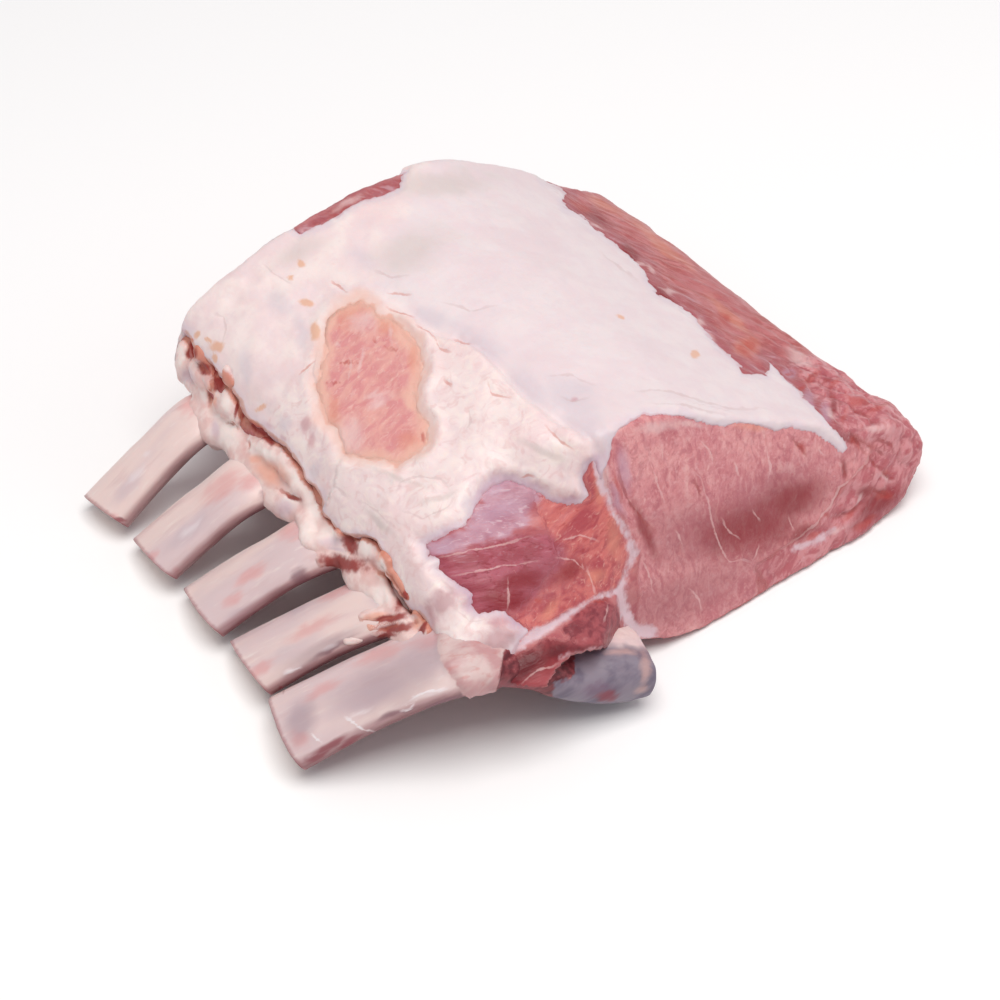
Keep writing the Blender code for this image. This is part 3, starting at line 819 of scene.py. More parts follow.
FAT_MARKS = {
    "cool": [
        (245, 368, 12, 28, 0), (285, 425, 12, 14, 0), (280, 304, 24, 16, -30), (361, 257, 26, 16, -30),
        (430, 316, 30, 12, -20), (488, 350, 26, 14, -25), (530, 388, 40, 18, -45), (584, 424, 26, 18, -45),
        (574, 386, 30, 16, -8), (527, 478, 12, 5, 10), (585, 484, 9, 14, 0), (316, 470, 8, 18, -30),
        (470, 505, 16, 12, 40), (608, 440, 9, 26, 30), (300, 330, 10, 28, 10), (440, 536, 22, 10, 20),
        (202, 356, 8, 5, 0), (480, 340, 50, 14, -30), (570, 400, 50, 26, -40),
    ],
    "warm": [
        (301, 263, 6, 7, 30), (290, 278, 5, 4, 0), (306, 302, 11, 6, 0), (315, 332, 9, 14, 0),
        (217, 346, 11, 8, 0), (196, 334, 7, 5, 50), (258, 408, 12, 4, 20), (695, 354, 6, 6, 0),
        (621, 315, 8, 3, 0), (214, 358, 5, 6, 0), (208, 340, 5, 3, 0),
    ],
    "red": [(191, 352, 6, 10, -35), (204, 368, 9, 5, -45), (190, 340, 4, 4, 0), (254, 425, 14, 4, -32)],
    "mauve": [
        (309, 427, 9, 13, -30), (313, 442, 5, 11, 0), (266, 426, 8, 6, -40), (284, 438, 7, 4, -30),
        (228, 374, 6, 8, 0), (181, 350, 6, 30, 0), (430, 620, 22, 14, -40), (476, 604, 18, 8, 0),
        (500, 622, 22, 10, 20), (574, 397, 6, 3, 0), (448, 664, 6, 10, 20),
    ],
    "shade": [
        (500, 640, 30, 22, 30), (446, 602, 16, 26, -45), (466, 664, 24, 20, -40), (560, 186, 20, 6, -40),
    ],
    "thin": [
        (505, 490, 60, 26, 0), (560, 500, 30, 16, 0), (450, 545, 30, 20, 20), (470, 596, 30, 26, -40),
        (510, 625, 30, 16, 20), (596, 470, 14, 26, 0),
    ],
    "grey": [
        (410, 250, 60, 30, 20), (440, 184, 80, 18, 5), (300, 250, 40, 16, 30), (540, 170, 30, 12, -25),
        (400, 480, 40, 4, -20), (440, 500, 30, 4, 20), (380, 520, 30, 5, -40), (540, 450, 40, 5, -20),
    ],
}
LUMPY = [(400, 500, 70, 40, 20), (450, 600, 50, 50, 0), (560, 440, 50, 30, -40), (240, 300, 60, 40, 40)]
THIN_FAT = [(510, 530, 110, 80, 0), (470, 640, 60, 50, 0)]
FAT_BULGES = [([(432, 164, 46, 14, 0)], 1.6), ([(350, 205, 70, 12, 30)], 0.8)]
OVAL_LOBE, DIMPLE = [(426, 498, 28, 20, 5)], [(574, 386, 30, 15, -8)]
print("the fat's marks:", {kind: len(places) for kind, places in FAT_MARKS.items()})

# %% [markdown]
# The fat's edge has three profiles. It is torn and steep along the groove over the bones, soft where
# it thins out on the meat, and almost flush round the window.

# %% The fat's relief
PAST_EDGE, DIVE = 2.6, 2.8  # how far the skin goes on past its edge, and how deep it dives there


def fat_relief(points, field, from_crevice, from_window, marks):
    """Height of the fat's upper skin over the smooth block, and its distance from the layer step."""
    pixels = bent(points, 1.6)
    gap, side, along = to_segments(pixels, LAYER_STEP)
    left = gap * side
    amount = step(0.12, 0.45, along)
    layer = 1.9 * step(-0.9, 1.2, left) - 0.7 * np.exp(-((left + 1.6) / 1.6) ** 2)
    rough = 0.7 + 0.6 * step(-3, 3, left)
    height = 0.6 * lumps(points, 30) + rough * (0.5 * lumps(points, 12) + 0.22 * lumps(points, 5.5))
    height += 0.1 * rough * lumps(points, 2.4) + marks["shade"] * 0.4 * lumps(points, 4.5, 7)
    height += 0.7 * spots(pixels, LUMPY) * lumps(points, 8, 5)
    lobe, hollow = spots(pixels, OVAL_LOBE), spots(pixels, DIMPLE)
    height += layer * amount + 0.5 * lobe - 0.5 * lobe * (1 - lobe) * 4 - 0.9 * hollow
    for places, rise in FAT_BULGES:
        height += rise * spots(pixels, places)
    torn = -DIVE + step(-PAST_EDGE, 0.5, field) * (2.6 + height)
    inward = 3.2 + 4.0 * spots(pixels, THIN_FAT)
    soft = -DIVE + 2.05 * step(-PAST_EDGE, 0.2, field) + (0.6 + height) * step(0.0, 1.0, field / inward)
    flush = -DIVE + 3.0 * step(-PAST_EDGE, 0.0, field) + (0.4 + height) * step(0.0, 5.0, field)
    height = soft + (torn - soft) * step(9, 4, from_crevice)
    return height + (flush - height) * step(8, 4, from_window), left * amount

# %% [markdown]
# The shell is the part of the skin that the field keeps, doubled by an extrusion. A loose crumb of
# skin would float beside the cap, so what hangs together in only a few faces goes.

# %% The fat's shell
FEWEST_FACES = 400


def drop_crumbs(mesh, fewest):
    """Deletes the bits of a skin that share no edge with the rest and have fewer faces than that."""
    left, crumbs = set(mesh.faces), []
    while left:
        island, border = [], [left.pop()]
        while border:
            face = border.pop()
            island.append(face)
            others = {other for edge in face.edges for other in edge.link_faces} & left
            left -= others
            border += others
        if len(island) < fewest:
            crumbs += island
    bmesh.ops.delete(mesh, geom=crumbs, context="FACES")


def keep_fat(piece, field):
    """Cuts away the skin that is far outside the fat's edge, and doubles the rest.

    It gives which old point each new one comes from, and which new ones are on the upper skin.
    """
    mesh = bmesh.new()
    mesh.from_mesh(piece.data)
    which = mesh.verts.layers.int.new("which")
    mesh.verts.ensure_lookup_table()
    for vert in mesh.verts:
        vert[which] = vert.index
    bare = [vert for vert in mesh.verts if field[vert.index] < -PAST_EDGE]
    bmesh.ops.delete(mesh, geom=bare, context="VERTS")
    drop_crumbs(mesh, FEWEST_FACES)
    skin = mesh.faces[:]
    raised = bmesh.ops.extrude_face_region(mesh, geom=skin)["geom"]
    top = {item for item in raised if isinstance(item, bmesh.types.BMVert)}
    order = np.array([vert[which] for vert in mesh.verts])
    upper = np.array([vert in top for vert in mesh.verts])
    bmesh.ops.recalc_face_normals(mesh, faces=mesh.faces)
    mesh.to_mesh(piece.data)
    mesh.free()
    return order, upper


fat_points, fat_normals = read(fat)
field = fat_field(fat_points, fat_normals)
from_window = window_gap(fat_points, fat_normals)
order, upper = keep_fat(fat, field)
fat_points, fat_normals = fat_points[order], fat_normals[order]
field, from_window = field[order], from_window[order]
print("points on the fat's upper skin:", int(upper.sum()))

# %% [markdown]
# The upper skin takes the relief, its nicks and its wrinkles. The lower skin lies hidden in the
# muscle, a few millimetres deeper than the muscle's own surface under the fat.

# %% Shape the fat
LOWER_SKIN, THINNEST = 3.2, 0.3  # how deep the lower skin lies at the edge, and the least thickness
marks = add_marks(fat, fat_points, fat_normals, FAT_MARKS)
lip = to_segments(to_picture(fat_points), CREVICE)[0]
top_height, left = fat_relief(fat_points, field, lip, from_window, marks)
top_height -= 0.6 * add_strokes(fat, fat_points, fat_normals, "nicks", RED_NICKS)
top_height -= 0.3 * add_strokes(fat, fat_points, fat_normals, "wrinkles", WRINKLES)
deep = -LOWER_SKIN - fat_depth(fat_points) * step(0, 6, field)
bottom_height = np.minimum(deep, top_height - THINNEST)
height = np.where(upper, top_height, bottom_height)
write(fat, fat_points + fat_normals * height[:, None])
for name, values in {"under": field, "left": left, "from_window": from_window, "lip": lip}.items():
    store(fat, name, values)
print("fat relief from", round(top_height.min(), 1), "to", round(top_height.max(), 1), "mm")

# %% [markdown]
# ## The rib bones
# Each bone is a flat, slightly curved bar that leaves the meat over the crown of the block and ends
# in a saw cut. It is a grid wrapped round a bent line, with the CAD solid's own route and sizes and
# many more rings, so that scrapes and swellings along it can be modelled.

# %% The bones' routes
RIB_BASES = [(-63, 81), (-65, 45), (-63, 9), (-61, -24.5), (-61, -56)]
RIB_TIPS = [(-98, 85), (-96.5, 55.5), (-96.5, 26), (-97.5, -3), (-103, -32)]
RIB_HEADS_Y = [76, 37, -3, -39, -73]
RIB_WIDTHS = [21.5, 25.0, 25.5, 26.0, 29.0]
RIB_THICKNESS = [10.5, 11.0, 11.0, 11.0, 13.0]
RIB_CROWNS_Z = [29.5, 29.5, 29.5, 29.5, 32.0]
RIB_HEAD_X, RIB_HEAD_Z, TIP_LIFT = -4.5, 11.0, 1.0
SAW_SKEWS = [13.0, 17.0, 20.0, 23.0, 13.0]  # how far each saw cut is off square, in degrees
NEAREST = 4  # the number of the bone at the near cut, the only one whose head shows


def rib_route(number):
    """The knots of a bone's middle line, from its head in the meat to its saw cut."""
    base, tip, head_y = RIB_BASES[number], RIB_TIPS[number], RIB_HEADS_Y[number]
    half, crown_z = RIB_THICKNESS[number] / 2, RIB_CROWNS_Z[number]
    return np.array([
        (RIB_HEAD_X, head_y - 2, RIB_HEAD_Z - 1),
        (RIB_HEAD_X - 22, head_y + 4, RIB_HEAD_Z + 6),
        (RIB_HEAD_X - 40, (head_y + base[1]) / 2 + 3, crown_z - 3),
        (base[0], base[1], crown_z),
        ((base[0] + tip[0]) / 2, (base[1] + tip[1]) / 2, (crown_z + half) / 2 + 1.5),
        (tip[0], tip[1], half * 0.9 + TIP_LIFT),
    ]) - STAND


def along_route(route, share):
    """Points along an open smooth curve through the route's knots."""
    at = np.clip(share * (len(route) - 1), 0, len(route) - 1)
    first = np.minimum(np.floor(at), len(route) - 2).astype(int)

    def knots(ahead):
        return route[np.clip(first + ahead, 0, len(route) - 1)]

    return between_knots(knots, at - first)


def unit(vectors):
    """The same directions with a length of 1."""
    return vectors / np.linalg.norm(vectors, axis=1)[:, None]


NUMBERS = range(len(RIB_BASES))
spans = [np.linalg.norm(np.diff(rib_route(number), axis=0), axis=1).sum() for number in NUMBERS]
print("lengths of the bones in mm:", np.round(spans))

# %% [markdown]
# The grid's rings close to a round cap at the head and to a flat saw face at the tip, where several
# rings of falling size lie in one plane. The section is a squarish oval.

# %% The bones' shape
BONE_RINGS, BONE_SIDES, HEAD_RINGS = 120, 96, 9
SAW_RING_SIZES = np.array([0.97, 0.9, 0.8, 0.65, 0.5, 0.35, 0.2, 0.08, 0.0])


def squared(value):
    """A sine or cosine made a little fuller, so that a circle turns into a squarish oval."""
    return np.sign(value) * np.abs(value) ** 0.8


def make_bone(number):
    """Wraps a grid round the bone's route, and gives the bone and its route."""
    route = rib_route(number)
    head = np.linspace(0, 0.02, HEAD_RINGS)
    tip = np.ones(len(SAW_RING_SIZES))
    shares = np.concatenate([head, np.linspace(0.025, 1.0, BONE_RINGS), tip])
    head_sizes = np.sin(np.linspace(0, 1.45, HEAD_RINGS))
    sizes = np.concatenate([head_sizes, np.ones(BONE_RINGS), SAW_RING_SIZES])

    def place(u, row):
        share, size = shares[row], sizes[row]
        middle = along_route(route, share)
        along = unit(along_route(route, share + 0.01) - along_route(route, share - 0.01))
        across = unit(np.cross(along, (0, 0, 1)))
        upward = np.cross(across, along)
        knob = np.exp(-(((share - 0.10) / 0.09) ** 2))
        flare = step(0.75, 1.0, share)
        half_width = RIB_WIDTHS[number] / 2 * (0.84 + 0.10 * step(0.3, 0.6, share) + 0.06 * flare)
        half_height = RIB_THICKNESS[number] / 2 * (0.92 + 0.55 * knob + 0.08 * flare)
        angle = 2 * np.pi * u
        sideways = squared(np.cos(angle)) * half_width * size
        lift = squared(np.sin(angle)) * half_height * size
        skew = math.tan(math.radians(SAW_SKEWS[number])) * sideways * step(0.8, 1.0, share)
        return middle + across * sideways[:, None] + upward * lift[:, None] + along * skew[:, None]

    return wrap(f"bone_{number + 1}", BONE_SIDES, len(shares), place), route


made = [make_bone(number) for number in NUMBERS]
bones = [bone for bone, route in made]
print("bones:", [bone.name for bone in bones], "with", len(bones[0].data.vertices), "points each")

# %% [markdown]
# Blood, film, painted shade, painted highlights and shreds of tissue lie on the bones where the picture
# shows them. One set of marks does for all bones, because a mark only reaches what lies at its place in
# the picture.

# %% The bones' marks
BONE_MARKS = {
    "dusk": [
        (395, 680, 90, 34, 24), (440, 652, 60, 30, 20), (320, 650, 60, 10, 28), (302, 722, 20, 34, -20),
    ],
    "tissue": [(644, 668, 9, 24, 0), (620, 652, 24, 5, 0), (640, 690, 12, 6, 0)],
    "red": [
        (192, 404, 20, 14, 40), (110, 520, 12, 6, 40), (222, 487, 38, 14, 35), (248, 482, 18, 12, 30),
        (152, 556, 14, 6, 45), (292, 530, 20, 14, 30), (250, 575, 26, 9, 35), (232, 600, 18, 7, 35),
        (312, 628, 36, 9, 28), (262, 668, 22, 8, 30), (340, 585, 36, 12, 30), (322, 690, 30, 8, 30),
        (300, 740, 14, 14, 0), (430, 640, 32, 10, 20), (178, 574, 6, 10, 40), (355, 565, 26, 8, 30),
        (380, 655, 40, 10, 20),
    ],
    "cool": [
        (128, 488, 30, 12, 50), (190, 530, 38, 12, 42), (238, 618, 28, 12, 38), (296, 650, 44, 12, 28),
        (300, 672, 30, 10, 25), (370, 690, 70, 22, 25), (300, 715, 18, 22, 0), (380, 600, 20, 14, -30),
        (420, 665, 40, 18, 20), (300, 606, 24, 10, 38),
    ],
    "shade": [
        (212, 430, 16, 12, 50), (272, 490, 20, 12, 38), (300, 575, 14, 12, 40), (330, 650, 40, 5, 30),
        (446, 702, 36, 6, 22), (395, 714, 30, 5, 24), (600, 690, 22, 12, 0), (500, 694, 50, 8, 0),
    ],
    "deep": [
        (316, 758, 20, 6, 28), (350, 742, 22, 4, 28), (282, 690, 8, 3, -50), (176, 582, 6, 4, 0),
        (606, 696, 16, 8, 10), (120, 520, 10, 3, 0), (520, 684, 40, 8, 0), (330, 745, 30, 6, 28),
    ],
    # Pale spots: white tissue and film, and painted highlights such as the streak along the near bone.
    "pale": [
        (430, 694, 24, 5, 12), (147, 455, 8, 3, 45), (382, 594, 16, 14, -40), (290, 672, 8, 4, 10),
        (330, 648, 14, 3, 25), (190, 528, 20, 5, 42), (136, 474, 20, 4, 48), (360, 712, 20, 3, 28),
    ],
}
# Thin pale lines: membrane and tissue, and one painted highlight streak along the near bone.
BONE_LINES = [
    [(344, 716), (354, 722), (364, 729), (376, 732)], [(312, 734), (317, 738), (323, 742)],
    [(408, 699), (425, 692), (450, 690)], [(283, 676), (292, 671), (302, 667)],
    [(400, 712), (408, 708), (414, 702)], [(396, 583), (384, 588), (372, 597)],
    [(398, 590), (388, 597), (378, 606)], [(392, 578), (380, 581), (368, 587)],
]
print("the bones' marks:", {kind: len(places) for kind, places in BONE_MARKS.items()})

# %% [markdown]
# Low swellings run along each bone. The bone at the near cut also has a raised collar of fat, and
# outlines for its head of cartilage and the meat on it.

# %% Finish the bones
def finish_bone(bone, route, number):
    """Adds the swellings and scrapes of the bone, and fields for its material."""
    points, normals = read(bone)
    tip = route[-1]
    along = unit((route[-1] - route[-2])[None])[0]
    from_tip = (tip - points) @ along
    grain = points - np.outer(points @ along, along) * 0.8
    height = 0.35 * lumps(grain, 7, number) + 0.12 * lumps(grain, 2.5, number)
    saw_face = np.clip(normals @ along, 0, 1) ** 4 * (from_tip < 6)
    height *= 1 - saw_face
    add_marks(bone, points, normals, BONE_MARKS)
    pixels = bent(points)
    if number == NEAREST:
        collar = 1.0 + 0.9 * lumps(points, 6.5, 3) + 0.4 * lumps(points, 2.6, 4)
        height += step(0.0, 1.2, inside(pixels, FAT_EDGE)) * collar
    height += 0.3 * add_strokes(bone, points, normals, "lines", BONE_LINES)
    write(bone, points + normals * height[:, None])
    store(bone, "grain", grain * MM)
    store(bone, "saw_face", saw_face)
    across = np.cross(along, (0, 0, 1)) / np.hypot(*along[:2])
    slant = math.tan(math.radians(SAW_SKEWS[number]))
    store(bone, "from_tip", from_tip + slant * ((points - tip) @ across))
    # How far each point faces down on the camera's side, for the darker flank: partly meat left on the
    # bone, partly painted shade.
    store(bone, "turned_down", -normals @ UP)
    covers = {"knob": KNOB_SHOWN, "under_fat": FAT_EDGE, "under_meat": MEAT_OVER_BONE}
    for name, outline in covers.items():
        there = inside(pixels, outline) if number == NEAREST else np.full(len(points), OUTSIDE)
        store(bone, name, there)


for number, (bone, route) in enumerate(made):
    finish_bone(bone, route, number)
print("finished bones:", len(made))

# %% [markdown]
# ## The strip of rib meat
# When the bones are scraped clean, a ragged band of fat and meat stays over their bases. A bent tube
# gives the band. Its lobes and the scraps between the bones are rows of small spheres, laid through
# it where the picture shows them.

# %% The strip's path and lobes
STRIP_PATH = np.array([
    (-60, 87, 33), (-59.5, 68, 33), (-60, 43, 33), (-58.5, 12, 33), (-60, -13, 33), (-65, -38, 30.5),
    (-67.5, -54, 27.5),
], float) - STAND
STRIP_WIDTH, STRIP_THICKNESS, STRIP_SLOPE = 13.0, 10.5, 0.35
STRIP_RINGS, STRIP_SIDES, STRIP_SQUARES = 220, 64, 0.6
# Lobes: (x, y) of both ends in the picture, then the radius in mm, and how far each lobe stands out
# of the skin there, in mm.
LOBES = [
    (184, 348, 184, 378, 4.4, 1.4), (188, 382, 201, 390, 4.0, 1.5), (194, 366, 205, 384, 4.0, 1.2),
    (196, 350, 207, 366, 3.2, 0.7), (208, 368, 213, 388, 3.4, 1.0), (204, 390, 208, 402, 3.4, 1.3),
    (226, 370, 230, 384, 2.6, 1.4), (230, 396, 226, 412, 4.0, 1.7), (220, 400, 217, 422, 4.2, 1.4),
    (233, 404, 236, 420, 3.2, 1.6), (220, 418, 220, 444, 5.0, 1.6), (231, 426, 238, 446, 5.0, 1.6),
    (246, 443, 266, 451, 4.4, 1.6), (266, 448, 285, 462, 4.8, 1.7), (284, 461, 299, 478, 4.8, 1.7),
    (297, 477, 309, 494, 4.8, 1.7), (307, 494, 317, 511, 4.8, 1.8), (316, 510, 327, 530, 4.8, 1.8),
    (248, 456, 276, 476, 4.6, 1.3), (262, 462, 286, 484, 4.6, 1.2), (288, 484, 306, 506, 4.8, 1.3),
    (302, 508, 312, 540, 4.6, 1.5), (312, 542, 332, 543, 3.6, 1.8), (326, 530, 340, 535, 3.2, 1.6),
    (358, 547, 372, 557, 3.6, 1.9), (366, 543, 387, 563, 3.0, 1.7), (374, 560, 391, 574, 2.6, 1.5),
    (393, 576, 405, 597, 2.4, 1.1), (322, 562, 362, 556, 3.8, 0.6), (340, 552, 354, 542, 3.4, 0.4),
    (368, 588, 386, 602, 3.6, 0.3), (378, 582, 396, 604, 3.0, 0.5), (364, 618, 408, 616, 3.6, 0.8),
    (372, 632, 406, 626, 3.2, 0.8), (346, 643, 362, 642, 1.6, 0.7), (416, 614, 428, 630, 2.6, 1.0),
    (282, 505, 296, 510, 3.2, 0.6),
]
print("lobes and scraps:", len(LOBES))

# %% [markdown]
# The strip is patchy: cream fat, warm and red meat, cool film, and dark cuts between the lobes.

# %% The strip's marks
STRIP_MARKS = {
    "cream": [
        (225, 405, 10, 18, -20), (228, 434, 20, 20, 0), (262, 451, 24, 8, -25), (296, 480, 22, 8, -55),
        (313, 505, 12, 26, 15), (326, 536, 20, 14, 0), (366, 549, 15, 11, -30), (384, 566, 15, 7, -45),
        (204, 396, 7, 9, 0), (350, 643, 10, 4, 0), (180, 356, 4, 16, 0), (382, 594, 14, 16, -35),
        (290, 500, 12, 14, 0), (310, 530, 14, 20, 0),
    ],
    "warm": [
        (270, 473, 24, 15, -35), (256, 460, 12, 6, -20), (212, 394, 5, 20, -8), (193, 338, 8, 6, 40),
        (376, 616, 20, 5, 8), (420, 620, 8, 12, -30), (366, 626, 12, 10, 0), (382, 550, 5, 14, -25),
        (384, 574, 12, 4, -35), (192, 352, 6, 12, -35), (194, 338, 6, 5, 40), (214, 396, 4, 12, 0),
        (302, 560, 10, 18, 30), (352, 647, 12, 4, 0),
    ],
    "red": [
        (191, 354, 7, 10, -35), (205, 369, 11, 6, -45), (218, 384, 7, 11, -20), (256, 431, 20, 5, -32),
        (342, 563, 34, 10, -6), (350, 545, 8, 14, 40), (396, 628, 26, 6, 14), (403, 598, 6, 20, -28),
        (390, 618, 24, 5, 8), (238, 406, 3, 16, -15), (254, 427, 18, 8, -28), (267, 438, 10, 5, -30),
        (424, 628, 4, 12, -30), (384, 637, 18, 4, 14), (292, 497, 14, 3, -25), (246, 474, 8, 4, -30),
    ],
    "cool": [
        (228, 376, 8, 10, 0), (202, 358, 9, 5, 20), (284, 508, 14, 12, 10), (330, 542, 18, 8, 0),
        (216, 430, 6, 14, 0), (335, 549, 13, 3, -5), (188, 376, 9, 12, 30),
    ],
}
STRIP_LINES = [
    [(275, 487), (290, 495), (302, 502)],
    [(368, 560), (380, 572), (390, 577), (398, 590), (405, 603), (412, 612)],
    [(232, 390), (240, 402), (242, 415), (243, 425)], [(240, 428), (232, 424), (225, 425)],
    [(248, 440), (249, 450)], [(197, 360), (204, 370), (211, 377)],
    [(216, 365), (213, 378), (211, 392), (208, 408)], [(356, 618), (376, 622), (398, 614)],
    [(366, 632), (384, 630), (402, 622)], [(280, 443), (293, 456), (302, 470)],
    [(304, 474), (316, 489), (322, 500)], [(323, 504), (328, 516), (340, 530)],
    [(300, 548), (310, 560), (318, 574)], [(292, 552), (300, 566), (310, 576)],
    [(436, 650), (448, 664), (456, 680)],
]
print("the strip's marks:", {kind: len(places) for kind, places in STRIP_MARKS.items()})

# %% [markdown]
# Each lobe rests on the outermost skin of whatever is already there: muscle, fat or bone. Remesh
# then makes one skin of the tube and the spheres, and Smooth melts their joints together.

# %% Melt the strip together
SPHERES_PER_LOBE, MELTING_ROUNDS = 7, 14


def on_skin(x, y):
    """The outermost point that is modelled so far within about 3 pixels of a pixel."""
    gap = np.hypot(*(skin_pixels - (x, y)).T)
    return skin[np.argmax(skin @ BACK - 40 * np.maximum(gap - 3, 0))]


def strip_place(u, row):
    """The band's points at u round it, in each row of its grid."""
    share = row / (STRIP_RINGS - 1)
    middle = along_route(STRIP_PATH, share)
    size = np.sqrt(np.maximum(0, 1 - (2 * share - 1) ** 8))
    angle = 2 * np.pi * u
    waist = 0.45 * np.exp(-(((share - 0.76) / 0.09) ** 2))
    waves = 1 + 0.18 * np.sin(share * 21) + 0.12 * np.sin(share * 47 + 1) - waist
    sideways = np.cos(angle) * STRIP_WIDTH / 2 * size * waves
    lift = np.sin(angle) * STRIP_THICKNESS / 2 * size
    return middle + np.stack([sideways, 0 * lift, lift + sideways * STRIP_SLOPE], axis=1)


def add_lobes(piece):
    """Lays rows of overlapping spheres through a piece's mesh."""
    mesh = bmesh.new()
    mesh.from_mesh(piece.data)
    for x, y, end_x, end_y, radius, out in LOBES:
        for share in np.linspace(0, 1, SPHERES_PER_LOBE):
            size = radius * (1 - 0.25 * abs(2 * share - 1))
            middle = on_skin(x + (end_x - x) * share, y + (end_y - y) * share) + BACK * (out - size)
            place = Matrix.Translation(Vector(middle) * MM)
            bmesh.ops.create_icosphere(mesh, subdivisions=3, radius=size * MM, matrix=place)
    mesh.to_mesh(piece.data)
    mesh.free()


skin = np.concatenate([read(piece)[0] for piece in (muscle, fat, *bones)])
skin_pixels = to_picture(skin)
strip = wrap("rib_strip", STRIP_SIDES, STRIP_RINGS, strip_place)
add_lobes(strip)
remesh(strip, STRIP_SQUARES)
melt = strip.modifiers.new("melt the lobes together", "SMOOTH")
melt.factor, melt.iterations = 0.5, MELTING_ROUNDS
use_modifiers(strip)
strip_points, strip_normals = read(strip)
strip_height = 0.4 * lumps(strip_points, 7) + 0.22 * lumps(strip_points, 3.2, 2)
strip_height += 0.08 * lumps(strip_points, 1.5)
write(strip, strip_points + strip_normals * strip_height[:, None])
strip_points, strip_normals = read(strip)
add_marks(strip, strip_points, strip_normals, STRIP_MARKS)
cuts = add_strokes(strip, strip_points, strip_normals, "cuts", STRIP_LINES)
write(strip, strip_points - strip_normals * 0.7 * cuts[:, None])
store(strip, "from_crevice", to_segments(to_picture(strip_points), CREVICE)[0])
# How low the strip's lumps lie, for the painted shade in its hollows.
store(strip, "hollow", -strip_height)
print("points on the strip:", len(strip.data.vertices))

# %% [markdown]
# ## Colours and nodes
# The colours are kept as the hex values that a picture shows, and one function turns them into the
# linear numbers that Blender mixes. Another adds a node with its settings and links. Each look is
# built like paint, from layers: a layer's colour goes over what is below it wherever a noise or a
# field on the mesh says so.

# %% Helpers for materials
def linear(hex_colour):
    """Turns a hex colour as a picture shows it into the linear numbers that Blender mixes."""
    channels = [int(hex_colour[i:i + 2], 16) / 255 for i in (1, 3, 5)]
    curve = [c / 12.92 if c <= 0.04045 else ((c + 0.055) / 1.055) ** 2.4 for c in channels]
    return (*curve, 1.0)


def add(tree, kind, inputs={}, **settings):
    """Adds a node. Its inputs are values, or outputs of other nodes to link."""
    node = tree.nodes.new(kind)
    for key, value in settings.items():
        setattr(node, key, value)
    for key, value in inputs.items():
        if isinstance(value, bpy.types.NodeSocket):
            tree.links.new(value, node.inputs[key])
        else:
            node.inputs[key].default_value = value
    return node


def start_material(name):
    """A new material, with its node tree and its shader."""
    material = bpy.data.materials.new(name)
    material.use_nodes = True
    tree = material.node_tree
    return material, tree, tree.nodes["Principled BSDF"]


def lay(tree, below, colour, value, low, high, amount=1.0, ragged=None, reach=0.0, only=None):
    """Lays a colour over what is below it where a value goes from low to high.

    The value is an output, or the name of a field kept on the mesh. A ragged noise moves its border
    by up to reach, and only is one more output that limits the colour.
    """
    if isinstance(value, str):
        value = add(tree, "ShaderNodeAttribute", attribute_name=value).outputs["Fac"]
    if ragged:
        off = add(tree, "ShaderNodeMath", {0: ragged, 1: 0.5}, operation="SUBTRACT").outputs[0]
        moved = {0: off, 1: reach * 3, 2: value}
        value = add(tree, "ShaderNodeMath", moved, operation="MULTIPLY_ADD").outputs[0]
    between = {"Value": value, "From Min": low, "From Max": high, "To Max": amount}
    mask = add(tree, "ShaderNodeMapRange", between, interpolation_type="SMOOTHSTEP").outputs[0]
    if only:
        mask = add(tree, "ShaderNodeMath", {0: mask, 1: only}, operation="MULTIPLY").outputs[0]
    below = linear(below) if isinstance(below, str) else below
    colour = linear(colour) if isinstance(colour, str) else colour
    return add(tree, "ShaderNodeMix", {0: mask, 6: below, 7: colour}, data_type="RGBA").outputs[2]


def paint(tree, below, layers):
    """Lays several colours, in order. Each layer holds what lay takes after what is below."""
    for layer in layers:
        below = lay(tree, below, *layer)
    return below


def draw_lines(tree, below, colour, name, width, amount=1.0, ragged=None):
    """Draws the thin lines kept on the mesh under a name, width mm to each side of their middle."""
    kept = add(tree, "ShaderNodeAttribute", attribute_name=name).outputs["Vector"]
    parts = add(tree, "ShaderNodeSeparateXYZ", {0: kept}).outputs
    gap = add(tree, "ShaderNodeMath", {0: parts[0]}, operation="ABSOLUTE").outputs[0]
    return lay(tree, below, colour, gap, width, width * 0.2, amount, ragged, width, only=parts[1])


def make_moist(shader, depth, radius, weight, ior):
    """Sets how light goes into flesh: how much of it, how deep, and how far each colour spreads."""
    shader.inputs["Subsurface Weight"].default_value = weight
    shader.inputs["Subsurface Radius"].default_value = radius
    shader.inputs["Subsurface Scale"].default_value = depth * MM
    shader.inputs["IOR"].default_value = ior


def set_surface(tree, shader, colour, wetness, dull, glossy, height, bump_mm, strength):
    """Links the colour, a roughness that follows the wetness, and a bump of that many mm."""
    tree.links.new(colour, shader.inputs["Base Color"])
    between = {"Value": wetness, "From Min": 0.3, "From Max": 0.7, "To Min": dull, "To Max": glossy}
    tree.links.new(add(tree, "ShaderNodeMapRange", between).outputs[0], shader.inputs["Roughness"])
    bump = {"Height": height, "Strength": strength, "Distance": bump_mm * MM}
    tree.links.new(add(tree, "ShaderNodeBump", bump).outputs[0], shader.inputs["Normal"])


print("a mid grey as linear numbers:", [round(part, 3) for part in linear("#808080")])

# %% [markdown]
# ## Raw muscle
# Muscle is bundles of fibres with a wet film on them. Cut across, it is smooth and finely grained
# with pale flecks of fat. Cut along, the bundles show as streaks. Light enters a little way and
# comes back red, so the shader has some subsurface scattering, and its film gives a soft gloss.

